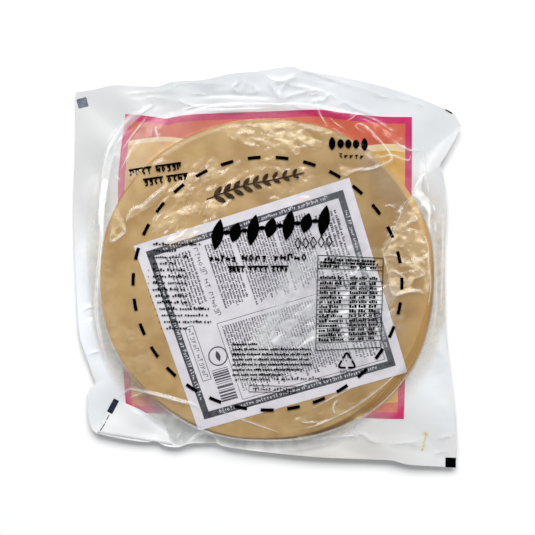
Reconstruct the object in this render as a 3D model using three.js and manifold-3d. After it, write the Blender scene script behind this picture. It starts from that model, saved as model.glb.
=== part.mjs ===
// A sealed clear bag of plain papadums, lying flat with its printed face up.
// The bag is one solid: the round stack stands up in its middle as a plateau, and
// the loose film around it runs out to the four welded edges in waves and pleats.
// Millimetres, +Z up. +Y is the top of the printed face. The origin is the centre
// of the bag's outline, on the surface that it lies on.
import * as THREE from "three";
import { mergeVertices } from "three/addons/utils/BufferGeometryUtils.js";
import Module from "manifold-3d";

const wasm = await Module();
wasm.setup();

// The stack of papadums
const PAPADUM_RADIUS_X = 90;
const PAPADUM_RADIUS_Y = 88;
const PAPADUM_COUNT = 14;
const PAPADUM_PITCH = 0.7;
const STACK_CENTRE = new THREE.Vector2(0, -7);

// The film over and under the stack
const FRONT_FILM_SLACK = 0.7;
const STACK_TOP = PAPADUM_COUNT * PAPADUM_PITCH + FRONT_FILM_SLACK;
const RIM_ROUNDING = 0.9;
const TENT_WIDTH = 13;
const TENT_CURVE = 2.1;

// The loose margin and its welded edge
const EDGE_THICKNESS = 0.9;
const MARGIN_REST_HEIGHT = 1.3;
const MARGIN_CLIMB = 1.6;
const UNDERSIDE_REACH = 9;
const PLEAT_COUNT = 23;
const PLEAT_HEIGHT = 0.75;
const CALM_ANGLE = 0.76;
const CALM_REACH = 0.4;

// The four welded edges, clockwise, each as points along it: x, y and the height
// that the edge is lifted to. Neighbouring edges share their corner point.
const TOP_EDGE = [
  [-104.8, 95.2, 2.2],
  [-94.2, 96.8, 2.6],
  [-84.3, 99, 3],
  [-69.4, 98.5, 2.6],
  [-59.2, 98.6, 2.8],
  [-52.3, 100.8, 3.6],
  [-34.4, 102.1, 4.4],
  [-19.6, 105.4, 4.6],
  [-5.7, 106.5, 4.2],
  [13, 109.1, 4.6],
  [19.3, 107.3, 4.4],
  [44.9, 102.5, 4.8],
  [66.6, 97.2, 5.4],
  [83, 91.7, 6],
  [93.8, 87, 6.4],
  [100.6, 83.9, 6.6],
  [105.5, 76.7, 6.5],
];
const RIGHT_EDGE = [
  [105.5, 76.7, 6.5],
  [99.3, 64.7, 6.2],
  [94.8, 57.3, 5.9],
  [93.9, 55.8, 5.8],
  [94.2, 54.3, 5.7],
  [96.3, 45.2, 5],
  [97.6, 28.8, 4.2],
  [96.6, 10, 3.8],
  [96.6, -8.7, 3.4],
  [97.4, -36.4, 3],
  [99.4, -55.3, 2.8],
  [101.5, -74, 2.8],
  [102.6, -90.8, 3],
  [102.5, -109.2, 3.6],
];
const BOTTOM_EDGE = [
  [102.5, -109.2, 3.6],
  [90.4, -108.5, 4.4],
  [75.8, -107.4, 5],
  [67.9, -105.4, 5],
  [57.3, -104.8, 4.8],
  [27.6, -103.5, 5.2],
  [1.4, -101, 5.2],
  [-15, -99, 5],
  [-24.3, -97.4, 4.6],
  [-28, -95.9, 4.4],
  [-34.9, -95.9, 4.4],
  [-42.2, -96.1, 4.6],
  [-48.5, -98.1, 4.6],
  [-56, -97.3, 4.2],
  [-61.6, -94.7, 4],
  [-64.7, -95.3, 4.2],
  [-80.2, -93.4, 4.6],
  [-92.8, -90.6, 4.6],
];
const LEFT_EDGE = [
  [-92.8, -90.6, 4.6],
  [-95.6, -88, 4.2],
  [-97.4, -81.9, 3.6],
  [-97.8, -73.7, 3.2],
  [-97.5, -68, 3],
  [-96.4, -65.9, 2.8],
  [-94, -63.9, 2.6],
  [-95.7, -57.4, 3.4],
  [-100, -45.2, 4],
  [-102.3, -37, 3.6],
  [-103.7, -20.7, 3],
  [-104.9, 3.8, 2.6],
  [-105.6, 32.1, 2.6],
  [-105.1, 52.2, 2.4],
  [-104.5, 76.9, 2.2],
  [-104.8, 95.2, 2.2],
];
const EDGES = [TOP_EDGE, RIGHT_EDGE, BOTTOM_EDGE, LEFT_EDGE];

// The corner that is folded over on top of the bag, bottom left. It joins the film
// along its fold, from start to end, and its tip and curved edge stand free.
const FOLD_OVER_START = [-92, -89.8, 4.9];
const FOLD_OVER_END = [-52, -96.2, 4.3];
const FOLD_OVER_BEND_LOW = [-55, -86, 6.6];
const FOLD_OVER_BEND_HIGH = [-66, -76.5, 6.6];
const FOLD_OVER_TIP = [-83.8, -71.6, 4.8];

// The corner that is folded under the bag, top right. It joins the film along its
// fold, from low to tip, and its inner corner stands free below.
const FOLD_UNDER_TIP = [104.9, 76.6, 6.1];
const FOLD_UNDER_LOW = [94.3, 56.8, 5.4];
const FOLD_UNDER_INNER = [90.5, 77, 1.6];
const FOLD_THICKNESS = 0.9;
const FOLD_CURVE_STEPS = 10;

// How finely the film is divided
const SEGMENTS_PER_EDGE = 36;
const STACK_RINGS = [0.35, 0.7, 0.9, 0.97, 1];
const MARGIN_RINGS = [0.07, 0.15, 0.25, 0.38, 0.52, 0.68, 0.84, 1];

/** The whole welded outline, clockwise from the top left corner. */
function outlinePoints() {
  const points = [];
  for (const edge of EDGES) {
    const places = edge.map((place) => new THREE.Vector3(...place));
    const curve = new THREE.CatmullRomCurve3(places, false, "centripetal");
    points.push(...curve.getSpacedPoints(SEGMENTS_PER_EDGE).slice(0, -1));
  }
  return points;
}

/** The point of the stack's rim that lies towards an outline point. */
function rimTowards(point) {
  const angle = Math.atan2(
    (point.y - STACK_CENTRE.y) / PAPADUM_RADIUS_Y,
    (point.x - STACK_CENTRE.x) / PAPADUM_RADIUS_X,
  );
  return {
    angle,
    x: STACK_CENTRE.x + PAPADUM_RADIUS_X * Math.cos(angle),
    y: STACK_CENTRE.y + PAPADUM_RADIUS_Y * Math.sin(angle),
  };
}

/** Low swells of the front film where it lies on the stack. */
function filmSwell(x, y) {
  return (
    0.28 * Math.sin(x / 17 + 0.6) * Math.cos(y / 23) +
    0.22 * Math.sin((x + y) / 13 + 1.9)
  );
}

/** The middle height of the margin, from the rim (share 0) to the weld (share 1). */
function marginHeight(share, edgeLift) {
  const climb = Math.pow(share, MARGIN_CLIMB);
  return THREE.MathUtils.lerp(MARGIN_REST_HEIGHT, edgeLift, climb);
}

/** Pleats from the rim to the weld. They are calm where the corner is folded under. */
function pleat(angle, share) {
  const wave = Math.sin(PLEAT_COUNT * angle + 2.2 * Math.sin(3 * angle));
  const calm = THREE.MathUtils.smoothstep(Math.abs(angle - CALM_ANGLE), 0, CALM_REACH);
  return PLEAT_HEIGHT * calm * wave * Math.sin(Math.PI * share);
}

/** Both film heights at a share of the way from the rim to the weld. */
function marginFilms(rim, edge, share) {
  const run = Math.hypot(edge.x - rim.x, edge.y - rim.y);
  const distance = run * share;
  const middle = marginHeight(share, edge.z);
  const tent = Math.pow(Math.max(0, 1 - distance / TENT_WIDTH), TENT_CURVE);
  const fold = pleat(rim.angle, share);
  const rimHeight = STACK_TOP - RIM_ROUNDING;
  const front = middle + EDGE_THICKNESS / 2 + (rimHeight - middle) * tent + fold;
  const reach = THREE.MathUtils.smoothstep(distance, 0, UNDERSIDE_REACH);
  const back = Math.max(0, (middle - EDGE_THICKNESS / 2 + fold) * reach);
  return { front: Math.max(front, back + EDGE_THICKNESS), back };
}

/** The front and back rows of the film for every spoke, from the centre out. */
function filmRows(outline) {
  const rows = [];
  for (const share of STACK_RINGS) {
    rows.push(
      outline.map((edge) => {
        const rim = rimTowards(edge);
        const x = THREE.MathUtils.lerp(STACK_CENTRE.x, rim.x, share);
        const y = THREE.MathUtils.lerp(STACK_CENTRE.y, rim.y, share);
        const drop = share === 1 ? RIM_ROUNDING : 0;
        const swell = share < 0.95 ? filmSwell(x, y) : 0;
        return { x, y, front: STACK_TOP - drop + swell, back: 0 };
      }),
    );
  }
  for (const share of MARGIN_RINGS) {
    rows.push(
      outline.map((edge) => {
        const rim = rimTowards(edge);
        const x = THREE.MathUtils.lerp(rim.x, edge.x, share);
        const y = THREE.MathUtils.lerp(rim.y, edge.y, share);
        return { x, y, ...marginFilms(rim, edge, share) };
      }),
    );
  }
  return rows;
}

/** The bag's closed body: a front and a back skin that share a thin outer wall. */
function bagBody() {
  const rows = filmRows(outlinePoints());
  const spokes = rows[0].length;
  const positions = [];
  const indices = [];
  const layerSize = 1 + rows.length * spokes;
  const layers = ["front", "back"];

  for (const layer of layers) {
    const centreHeight = layer === "front" ? STACK_TOP : 0;
    positions.push(STACK_CENTRE.x, STACK_CENTRE.y, centreHeight);
    for (const row of rows) {
      for (const point of row) positions.push(point.x, point.y, point[layer]);
    }
  }

  const vertex = (layer, row, spoke) =>
    layer * layerSize + 1 + row * spokes + (spoke % spokes);
  const addFace = (layer, a, b, c) => {
    // The outline runs clockwise, so the front's faces are turned to look up.
    indices.push(...(layer === 0 ? [a, c, b] : [a, b, c]));
  };

  for (const layer of [0, 1]) {
    for (let i = 0; i < spokes; i++) {
      addFace(layer, layer * layerSize, vertex(layer, 0, i), vertex(layer, 0, i + 1));
      for (let row = 1; row < rows.length; row++) {
        const inner = vertex(layer, row - 1, i);
        const innerNext = vertex(layer, row - 1, i + 1);
        const outer = vertex(layer, row, i);
        const outerNext = vertex(layer, row, i + 1);
        addFace(layer, inner, outer, outerNext);
        addFace(layer, inner, outerNext, innerNext);
      }
    }
  }

  const last = rows.length - 1;
  for (let i = 0; i < spokes; i++) {
    const front = vertex(0, last, i);
    const frontNext = vertex(0, last, i + 1);
    const back = vertex(1, last, i);
    const backNext = vertex(1, last, i + 1);
    indices.push(front, frontNext, back, frontNext, backNext, back);
  }

  const geometry = new THREE.BufferGeometry();
  geometry.setAttribute("position", new THREE.Float32BufferAttribute(positions, 3));
  geometry.setIndex(indices);
  return geometry;
}

/** The points of a curve that bends from its first point to its last. */
function bend(points) {
  const places = points.map((point) => new THREE.Vector3(...point));
  return new THREE.CubicBezierCurve3(...places).getPoints(FOLD_CURVE_STEPS);
}

/** A folded film corner: a thin plate whose middle runs through the given rim. */
function foldedCorner(rim) {
  const flat = rim.map((point) => new THREE.Vector2(point.x, point.y));
  const count = rim.length;
  const positions = [];
  for (const side of [0.5, -0.5]) {
    for (const point of rim) {
      positions.push(point.x, point.y, point.z + side * FOLD_THICKNESS);
    }
  }

  const indices = [];
  for (const [a, b, c] of THREE.ShapeUtils.triangulateShape(flat, [])) {
    indices.push(a, b, c, a + count, c + count, b + count);
  }
  for (let i = 0; i < count; i++) {
    const next = (i + 1) % count;
    indices.push(i, i + count, next, next, i + count, next + count);
  }

  const geometry = new THREE.BufferGeometry();
  geometry.setAttribute("position", new THREE.Float32BufferAttribute(positions, 3));
  geometry.setIndex(indices);
  return geometry;
}

/** The bottom left corner, folded over onto the front. */
function foldOver() {
  const freeEdge = bend([
    FOLD_OVER_END,
    FOLD_OVER_BEND_LOW,
    FOLD_OVER_BEND_HIGH,
    FOLD_OVER_TIP,
  ]);
  return foldedCorner([new THREE.Vector3(...FOLD_OVER_START), ...freeEdge]);
}

/** The top right corner, folded under the back. */
function foldUnder() {
  const corners = [FOLD_UNDER_INNER, FOLD_UNDER_LOW, FOLD_UNDER_TIP];
  return foldedCorner(corners.map((corner) => new THREE.Vector3(...corner)));
}

/** A closed geometry as a solid that can be joined. */
function toSolid(geometry) {
  const bare = new THREE.BufferGeometry();
  bare.setAttribute("position", geometry.getAttribute("position"));
  if (geometry.index) bare.setIndex(geometry.index);
  const merged = mergeVertices(bare, 1e-4);
  return new wasm.Manifold(
    new wasm.Mesh({
      numProp: 3,
      vertProperties: merged.getAttribute("position").array,
      triVerts: new Uint32Array(merged.index.array),
    }),
  );
}

/** A joined solid as a geometry that can be drawn. */
function toGeometry(solid) {
  const mesh = solid.getMesh();
  const geometry = new THREE.BufferGeometry();
  geometry.setAttribute("position", new THREE.BufferAttribute(mesh.vertProperties, 3));
  geometry.setIndex(new THREE.BufferAttribute(mesh.triVerts, 1));
  geometry.computeVertexNormals();
  return geometry;
}

/** The clear bag with everything that it holds, as one solid. */
function sealedBag() {
  const solid = toSolid(bagBody()).add(toSolid(foldOver())).add(toSolid(foldUnder()));
  const film = new THREE.MeshStandardMaterial({
    color: 0xc9a063,
    roughness: 0.3,
    metalness: 0,
  });
  const mesh = new THREE.Mesh(toGeometry(solid), film);
  mesh.name = "sealed_bag";
  return mesh;
}

const papadumPack = new THREE.Group();
papadumPack.add(sealedBag());

export default papadumPack;
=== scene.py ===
"""A sealed clear bag of plain papadums, lying flat with its printed face up.

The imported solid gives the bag's place and size. It is replaced here by what the real
bag is: a clear front film over a white back film, welded along four wavy edges, with a
stack of papadums and a printed paper leaflet between them. Shapes are worked out in
millimetres and put into the meshes in metres. Where a function takes x and y, they are
places in the plan, in millimetres unless it says otherwise.
"""

from __future__ import annotations

import logging
import math
from dataclasses import dataclass, field
from enum import Enum
from functools import lru_cache
from typing import Callable, Sequence

import bpy
import numpy as np
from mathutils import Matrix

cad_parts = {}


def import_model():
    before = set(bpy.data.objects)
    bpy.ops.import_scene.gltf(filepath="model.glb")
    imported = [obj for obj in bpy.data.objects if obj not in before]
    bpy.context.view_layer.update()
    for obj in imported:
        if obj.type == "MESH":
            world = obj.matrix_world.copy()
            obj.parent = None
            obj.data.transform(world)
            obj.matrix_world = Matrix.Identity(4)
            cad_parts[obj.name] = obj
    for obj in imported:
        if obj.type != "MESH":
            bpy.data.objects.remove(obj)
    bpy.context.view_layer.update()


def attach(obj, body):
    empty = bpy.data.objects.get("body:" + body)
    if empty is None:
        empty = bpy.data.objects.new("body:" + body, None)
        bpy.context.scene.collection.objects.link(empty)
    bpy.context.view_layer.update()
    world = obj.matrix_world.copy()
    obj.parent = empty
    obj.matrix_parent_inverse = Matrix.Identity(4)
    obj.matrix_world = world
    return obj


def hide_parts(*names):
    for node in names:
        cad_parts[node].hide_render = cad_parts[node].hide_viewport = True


LOG = logging.getLogger("papadum_bag")

Values = np.ndarray
Point = tuple[float, float]
Route = tuple[Point, ...]
Steps = tuple[float, ...]
Colour = tuple[float, float, float]
HeightLaw = Callable[["Spot"], Values]
Piece = bpy.types.Object
Socket = bpy.types.NodeSocket
Port = Socket | float | Sequence[float]

MM = 0.001
NODE = "sealed_bag"
BODY = "root"
PAINTED_LIGHT_AND_SHADE = "painted_light_and_shade"
SHINE = "shine"
TINY = 1e-9
FULL_TURN = 2.0 * math.pi


class Slot(Enum):
    """The record's material slots; the prints name theirs, but take their finish from their own materials.
    """

    CLEAR_FILM = "clear_film"
    WHITE_FILM = "white_film"
    PAPADUM = "papadum"
    PAPER = "leaflet_paper"
    DARK = "dark_print"
    GREY = "grey_print"
    PINK = "pink_print"
    ORANGE = "orange_print"
    YELLOW = "yellow_print"


# Numbers, noise and lines


def smooth(value: Values, low: float, high: float) -> Values:
    """Rise smoothly from 0 at low to 1 at high."""
    share = np.clip((value - low) / (high - low), 0.0, 1.0)
    return share * share * (3.0 - 2.0 * share)


def turned(x: Values, y: Values, degrees: float) -> tuple[Values, Values]:
    """Turn places clockwise, so that an axis slanted by so many degrees becomes +X."""
    cosine, sine = math.cos(math.radians(degrees)), math.sin(math.radians(degrees))
    return x * cosine + y * sine, y * cosine - x * sine


def in_cells(x: Values, y: Values) -> tuple[Values, Values, Values, Values]:
    """Give the lattice cell that each place is in, and the place inside the cell."""
    column, row = np.floor(x).astype(int), np.floor(y).astype(int)
    return column, row, x - column, y - row


class GradientNoise:
    """Smooth two-dimensional noise, about -1 to 1, the same on every run."""

    SIDE = 128
    GAIN = 1.5

    def __init__(self, seed: int) -> None:
        """Draw the slopes of the lattice that the seed stands for."""
        angles = np.random.default_rng(seed).uniform(0.0, FULL_TURN, (self.SIDE, self.SIDE))
        self._slope_x = np.cos(angles)
        self._slope_y = np.sin(angles)

    def at(self, x: Values, y: Values) -> Values:
        """Read the noise.

        Args:
            x: Places along X, in lattice steps.
            y: Places along Y, in lattice steps.

        Returns:
            One value for each place.
        """
        column, row, inner_x, inner_y = in_cells(x, y)
        ease_x, ease_y = (inner**3 * (inner * (inner * 6.0 - 15.0) + 10.0) for inner in (inner_x, inner_y))
        total = np.zeros_like(inner_x)
        for step_x, weight_x in enumerate((1.0 - ease_x, ease_x)):
            for step_y, weight_y in enumerate((1.0 - ease_y, ease_y)):
                i, j = (column + step_x) % self.SIDE, (row + step_y) % self.SIDE
                slope = self._slope_x[i, j] * (inner_x - step_x) + self._slope_y[i, j] * (inner_y - step_y)
                total += slope * weight_x * weight_y
        return total * self.GAIN


class FacetNoise:
    """Random heights on a lattice of triangles, flat inside each, from -1 to 1."""

    SIDE = 96
    SKEW = 0.366

    def __init__(self, seed: int) -> None:
        """Draw the heights of the lattice that the seed stands for."""
        self._heights = np.random.default_rng(seed).uniform(-1.0, 1.0, (self.SIDE, self.SIDE))

    def at(self, x: Values, y: Values) -> Values:
        """Read the noise.

        Args:
            x: Places along X, in lattice steps.
            y: Places along Y, in lattice steps.

        Returns:
            One value for each place.
        """
        skew = (x + y) * self.SKEW
        column, row, a, b = in_cells(x + skew, y + skew)
        (near, above), (right, far) = (
            [self._heights[(column + i) % self.SIDE, (row + j) % self.SIDE] for j in (0, 1)] for i in (0, 1)
        )
        low = near + (right - near) * a + (far - right) * b
        high = near + (above - near) * b + (far - above) * a
        return np.where(a > b, low, high)


def extended(points: Sequence[Sequence[float]]) -> Values:
    """Add a mirrored point before the first point of a line and after its last."""
    given = np.array(points, dtype=float)
    return np.vstack([2 * given[0] - given[1], given, 2 * given[-1] - given[-2]])


def smooth_line(points: Sequence[Point], pieces: int = 8) -> Values:
    """Draw a smooth line through a few points.

    Args:
        points: The points that the line passes through.
        pieces: How many straight pieces stand between two of them.

    Returns:
        The line's points, one row each.
    """
    if len(points) < 3:
        first, last = np.array(points, dtype=float)
        return first + (last - first) * np.linspace(0.0, 1.0, pieces + 1)[:, None]
    given = extended(points)
    line = []
    for i in range(1, len(given) - 2):
        a, b, c, d = given[i - 1 : i + 3]
        for t in (step / pieces for step in range(pieces)):
            bend = (2 * a - 5 * b + 4 * c - d) * t**2 + (3 * b - a - 3 * c + d) * t**3
            line.append(0.5 * (2 * b + (c - a) * t + bend))
    return np.array([*line, given[-2]])


def around(angle: Values, values: Sequence[float]) -> Values:
    """Read a value that is given at even steps round the bag, smoothly between them.

    Args:
        angle: Angles about the stack's centre, in radians.
        values: The value at each step, counter-clockwise from -180 degrees.

    Returns:
        One value for each angle.
    """
    step = FULL_TURN / len(values)
    knots = [(step * i - math.pi, values[i % len(values)]) for i in range(-2, len(values) + 3)]
    line = smooth_line(knots)
    return np.interp(angle, line[:, 0], line[:, 1])


def beside(spot: Spot, line: Values, reach: float) -> Values:
    """Say which places lie in a line's box, widened by a reach."""
    low, high = line.min(axis=0) - reach, line.max(axis=0) + reach
    return (spot.x > low[0]) & (spot.x < high[0]) & (spot.y > low[1]) & (spot.y < high[1])


def nearest(x: Values, y: Values, line: Values) -> tuple[Values, Values]:
    """Measure how near places are to a line.

    Args:
        x: Places along X.
        y: Places along Y.
        line: The line's points, one row each.

    Returns:
        Each place's distance, and where on the line its nearest point is, from 0 to 1.
    """
    gap = np.full(len(x), np.inf)
    along = np.zeros(len(x))
    lengths = np.hypot(*np.diff(line, axis=0).T)
    walked = np.concatenate([[0.0], np.cumsum(lengths)])
    for i, length in enumerate(lengths):
        off_x, off_y = x - line[i, 0], y - line[i, 1]
        run_x, run_y = line[i + 1] - line[i]
        share = np.clip((off_x * run_x + off_y * run_y) / max(length**2, TINY), 0.0, 1.0)
        reach = np.hypot(off_x - share * run_x, off_y - share * run_y)
        closer = reach < gap
        gap[closer] = reach[closer]
        along[closer] = (walked[i] + share * length)[closer] / walked[-1]
    return gap, along


def direction(start: Point, end: Point) -> tuple[float, Values, Values]:
    """Measure the way between two points.

    Args:
        start: Where it starts.
        end: Where it ends.

    Returns:
        Its length, its direction, and the direction across it.
    """
    run = np.array(end) - np.array(start)
    length = math.hypot(*run)
    along = run / length
    return length, along, np.array((-along[1], along[0]))


# The bag's form

# How far the lowest and the highest papadum reach from the stack's centre, at every 15 degrees
LOW_REACH = (
    90.7, 91.2, 90.4, 89.1, 88.8, 88.0, 86.9, 88.0, 89.4, 91.7, 92.4, 91.2,
    90.4, 91.8, 91.0, 90.0, 89.3, 88.4, 87.5, 87.6, 89.0, 90.3, 91.3, 91.6,
)
TOP_REACH = (
    90.6, 91.2, 90.3, 88.8, 88.5, 87.6, 86.4, 86.6, 86.5, 86.3, 86.3, 86.6,
    87.2, 88.0, 88.0, 87.8, 87.8, 87.6, 87.0, 87.2, 88.4, 89.6, 90.6, 91.0,
)
STACK_CENTRE = (0.0, -7.0)


@dataclass(frozen=True)
class WeldedEdge:
    """One welded side of the bag: places along it, each with the height it is lifted to."""

    route: tuple[tuple[float, float, float], ...]
    pieces: int = 16

    def points(self, share: Values) -> Values:
        """Find points of the edge.

        Args:
            share: Shares of the edge's length, from 0 to 1.

        Returns:
            X, Y and height, one row for each share.
        """
        line = self._line()
        lengths = np.linalg.norm(np.diff(line, axis=0), axis=1)
        walked = np.concatenate([[0.0], np.cumsum(lengths)]) / lengths.sum()
        return np.stack([np.interp(share, walked, line[:, axis]) for axis in range(3)], axis=-1)

    def _line(self) -> Values:
        """Run a smooth line through the places, without loops between near ones.

        Returns:
            The line's points, one row each.
        """
        given = extended(self.route)
        line = []
        for i in range(1, len(given) - 2):
            level = list(given[i - 1 : i + 3])
            steps = np.sqrt(np.linalg.norm(np.diff(level, axis=0), axis=1))
            knots = np.concatenate([[0.0], np.cumsum(steps)])
            at = np.linspace(knots[1], knots[2], self.pieces, endpoint=False)[:, None]
            for reach in (1, 2, 3):
                for j in range(4 - reach):
                    start, end = (knots[j], knots[j + reach]) if reach < 3 else (knots[1], knots[2])
                    level[j] = level[j] + (level[j + 1] - level[j]) * (at - start) / (end - start)
            line.append(level[0])
        return np.vstack([*line, given[-2]])


TOP_EDGE = WeldedEdge((
    (-104.8, 95.2, 2.2), (-94.2, 96.8, 2.6), (-84.3, 99.0, 3.0), (-69.4, 98.5, 2.6), (-59.2, 98.6, 2.8),
    (-52.3, 100.8, 3.6), (-34.4, 102.1, 4.4), (-19.6, 105.4, 4.6), (-5.7, 106.5, 4.2), (13.0, 109.1, 4.6),
    (19.3, 107.3, 4.4), (44.9, 102.5, 4.8), (66.6, 97.2, 5.4), (83.0, 91.7, 6.0), (93.8, 87.0, 6.4),
    (100.6, 83.9, 6.6), (105.5, 76.7, 6.5),
))
RIGHT_EDGE = WeldedEdge((
    (105.5, 76.7, 6.5), (99.3, 64.7, 6.2), (94.8, 57.3, 5.9), (93.9, 55.8, 5.8), (94.2, 54.3, 5.7),
    (96.3, 45.2, 5.0), (97.6, 28.8, 4.2), (96.6, 10.0, 3.8), (96.6, -8.7, 3.4), (97.4, -36.4, 3.0),
    (99.4, -55.3, 2.8), (101.5, -74.0, 2.8), (102.6, -90.8, 3.0), (102.5, -109.2, 3.6),
))
BOTTOM_EDGE = WeldedEdge((
    (102.5, -109.2, 3.6), (90.4, -108.5, 4.4), (75.8, -107.4, 5.0), (67.9, -105.4, 5.0),
    (57.3, -104.8, 4.8), (27.6, -103.5, 5.2), (1.4, -101.0, 5.2), (-15.0, -99.0, 5.0), (-24.3, -97.4, 4.6),
    (-28.0, -95.9, 4.4), (-34.9, -95.9, 4.4), (-42.2, -96.1, 4.6), (-48.5, -98.1, 4.6), (-56.0, -97.3, 4.2),
    (-61.6, -94.7, 4.0), (-64.7, -95.3, 4.2), (-80.2, -93.4, 4.6), (-92.8, -90.6, 4.6),
))
LEFT_EDGE = WeldedEdge((
    (-92.8, -90.6, 4.6), (-95.6, -88.0, 4.2), (-97.4, -81.9, 3.6), (-97.8, -73.7, 3.2), (-97.5, -68.0, 3.0),
    (-96.4, -65.9, 2.8), (-94.0, -63.9, 2.6), (-95.7, -57.4, 3.4), (-100.0, -45.2, 4.0),
    (-102.3, -37.0, 3.6), (-103.7, -20.7, 3.0), (-104.9, 3.8, 2.6), (-105.6, 32.1, 2.6),
    (-105.1, 52.2, 2.4), (-104.5, 76.9, 2.2), (-104.8, 95.2, 2.2),
))


def polar(x: Values, y: Values) -> tuple[Values, Values]:
    """Find places round the stack.

    Args:
        x: Places along X.
        y: Places along Y.

    Returns:
        Their distances from its centre, 1 at its rim, and their angles.
    """
    across, along = x - STACK_CENTRE[0], y - STACK_CENTRE[1]
    angle = np.arctan2(along, across)
    return np.hypot(across, along) / around(angle, LOW_REACH), angle


@lru_cache
def weld() -> tuple[Values, Values, Values]:
    """Tabulate the welded outline.

    Returns:
        Its angles about the stack's centre, its reaches and its heights.
    """
    share = np.linspace(0.0, 1.0, 400, endpoint=False)
    edges = (TOP_EDGE, RIGHT_EDGE, BOTTOM_EDGE, LEFT_EDGE)
    x, y, lift = np.vstack([edge.points(share) for edge in edges]).T
    rho, angle = polar(x, y)
    order = np.argsort(angle)
    return angle[order], rho[order], lift[order]


class Spot:
    """Places on the bag: in the plan, and in the bag's own terms.

    rho is 1 at the stack's rim, and share goes from 0 there to 1 at the weld. outward is
    the way from the rim in millimetres, less than 0 inside it, and distance the same but
    never less than 0. lift is the height of the weld in the direction of the place.
    """

    def __init__(self, x: Values, y: Values) -> None:
        """Find where places lie between the rim and the weld."""
        self.x, self.y = x, y
        self.rho, self.angle = polar(x, y)
        angles, reaches, lifts = weld()
        edge = np.interp(self.angle, angles, reaches, period=FULL_TURN)
        self.lift = np.interp(self.angle, angles, lifts, period=FULL_TURN)
        self.share = np.clip((self.rho - 1.0) / (edge - 1.0), 0.0, 1.0)
        self.outward = (self.rho - 1.0) * around(self.angle, LOW_REACH)
        self.distance = np.maximum(self.outward, 0.0)


@dataclass(frozen=True)
class Crease:
    """A fold line pressed into the film: its route, width, height, and whiteness that is crease whitening
    with a painted glint along the fold.
    """

    points: Route
    width: float = 1.1
    height: float = 0.4
    white: float = 0.4

    def shape(self, spot: Spot) -> Values:
        """Give the crease's strength.

        Args:
            spot: Places on the bag.

        Returns:
            One strength for each place: 1 on the line, less beside it and at its ends.
        """
        line = smooth_line(self.points)
        strength = np.zeros_like(spot.x)
        near = beside(spot, line, 3.0 * self.width)
        if near.any():
            gap, along = nearest(spot.x[near], spot.y[near], line)
            fade = np.sin(math.pi * np.clip(along, 0.02, 0.98)) ** 0.5
            strength[near] = fade * np.exp(-((gap / self.width) ** 2))
        return strength


@dataclass(frozen=True)
class Crumple:
    """A patch of crumpled film: an ellipse of flat facets with sharp folds between them, with painted
    glints and painted glare on its facets.
    """

    centre: Point
    reach: Point
    slant: float
    size: float
    height: float
    seed: int
    stretch: float = 1.0
    white: float = 0.0
    painted_glare: float = 0.0
    on_back: bool = False
    warm: bool = False

    def shape(self, spot: Spot) -> tuple[Values, Values]:
        """Give the patch's relief and its whiteness.

        Args:
            spot: Places on the bag.

        Returns:
            The relief, about -1 to 1, and its whiteness, with painted glints and painted glare, 0 to 1.
        """
        x, y = spot.x, spot.y
        local_x, local_y = turned(x - self.centre[0], y - self.centre[1], self.slant)
        warp = GradientNoise(self.seed)
        rough = 0.16 * warp.at(x / 9.0, y / 9.0) + 0.1 * warp.at(x / 3.5 + 40.0, y / 3.5)
        distance = np.hypot(local_x / self.reach[0], local_y / self.reach[1]) + rough
        mask = 1.0 - smooth(distance, 0.6, 1.0)
        step_x = local_x / (self.size * self.stretch)
        step_y = local_y / self.size
        warp_x = 0.3 * warp.at(step_x * 0.35 + 9.1, step_y * 0.35 + 3.3)
        warp_y = 0.3 * warp.at(step_x * 0.35 + 27.7, step_y * 0.35 + 15.9)
        facets = FacetNoise(self.seed)
        broad = facets.at(step_x + warp_x + 20.0, step_y + warp_y + 20.0)
        fine = facets.at(2.3 * (step_x + warp_x) + 50.0, 2.3 * (step_y - warp_y) + 50.0)
        patch = smooth(warp.at(step_x * 0.45 + 60.0, step_y * 0.45 + 60.0) + 0.5 * broad, -0.5, 0.6)
        white = self.painted_glare * patch + self.white * smooth(fine, 0.3, 0.9)
        return (broad + 0.35 * fine) * mask, white * mask


class Tone(Enum):
    """The kinds of paint on the film: a painted glow, whitening with painted glare, and painted shade."""

    WARM = "warmth"
    WHITE = "whitening"
    SHADE = "shade"


@dataclass(frozen=True)
class Patch:
    """A patch of painted glow, painted glare or painted shade on the film: its outline, strength and
    softness.
    """

    outline: Route
    strength: float
    tone: Tone
    soft: float = 1.4
    waver: float = 0.25

    def shape(self, spot: Spot) -> Values:
        """Give the patch's strength.

        Args:
            spot: Places on the bag.

        Returns:
            One strength for each place, uneven inside the outline and 0 outside it.
        """
        strength = np.zeros_like(spot.x)
        corners = smooth_line((*self.outline, self.outline[0]), 4)
        near = beside(spot, corners, self.soft)
        if near.any():
            x, y = spot.x[near], spot.y[near]
            gap, _ = nearest(x, y, corners)
            inside = np.zeros(len(x), dtype=bool)
            for start, end in zip(corners, corners[1:]):
                slope = (end[0] - start[0]) / ((end[1] - start[1]) or TINY)
                inside ^= ((start[1] > y) != (end[1] > y)) & (x < start[0] + slope * (y - start[1]))
            depth = np.where(inside, gap, -gap)
            uneven = 1.0 + self.waver * FacetNoise(51).at(x / 3.2 + 60.0, y / 3.2 + 60.0)
            strength[near] = self.strength * smooth(depth, -0.3 * self.soft, 0.7 * self.soft) * uneven
        return strength


def each(kind: type, *rows: tuple) -> tuple:
    """Make one object of a kind from each row of its values; usual ones at the end are left out."""
    return tuple(kind(*row) for row in rows)


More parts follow.
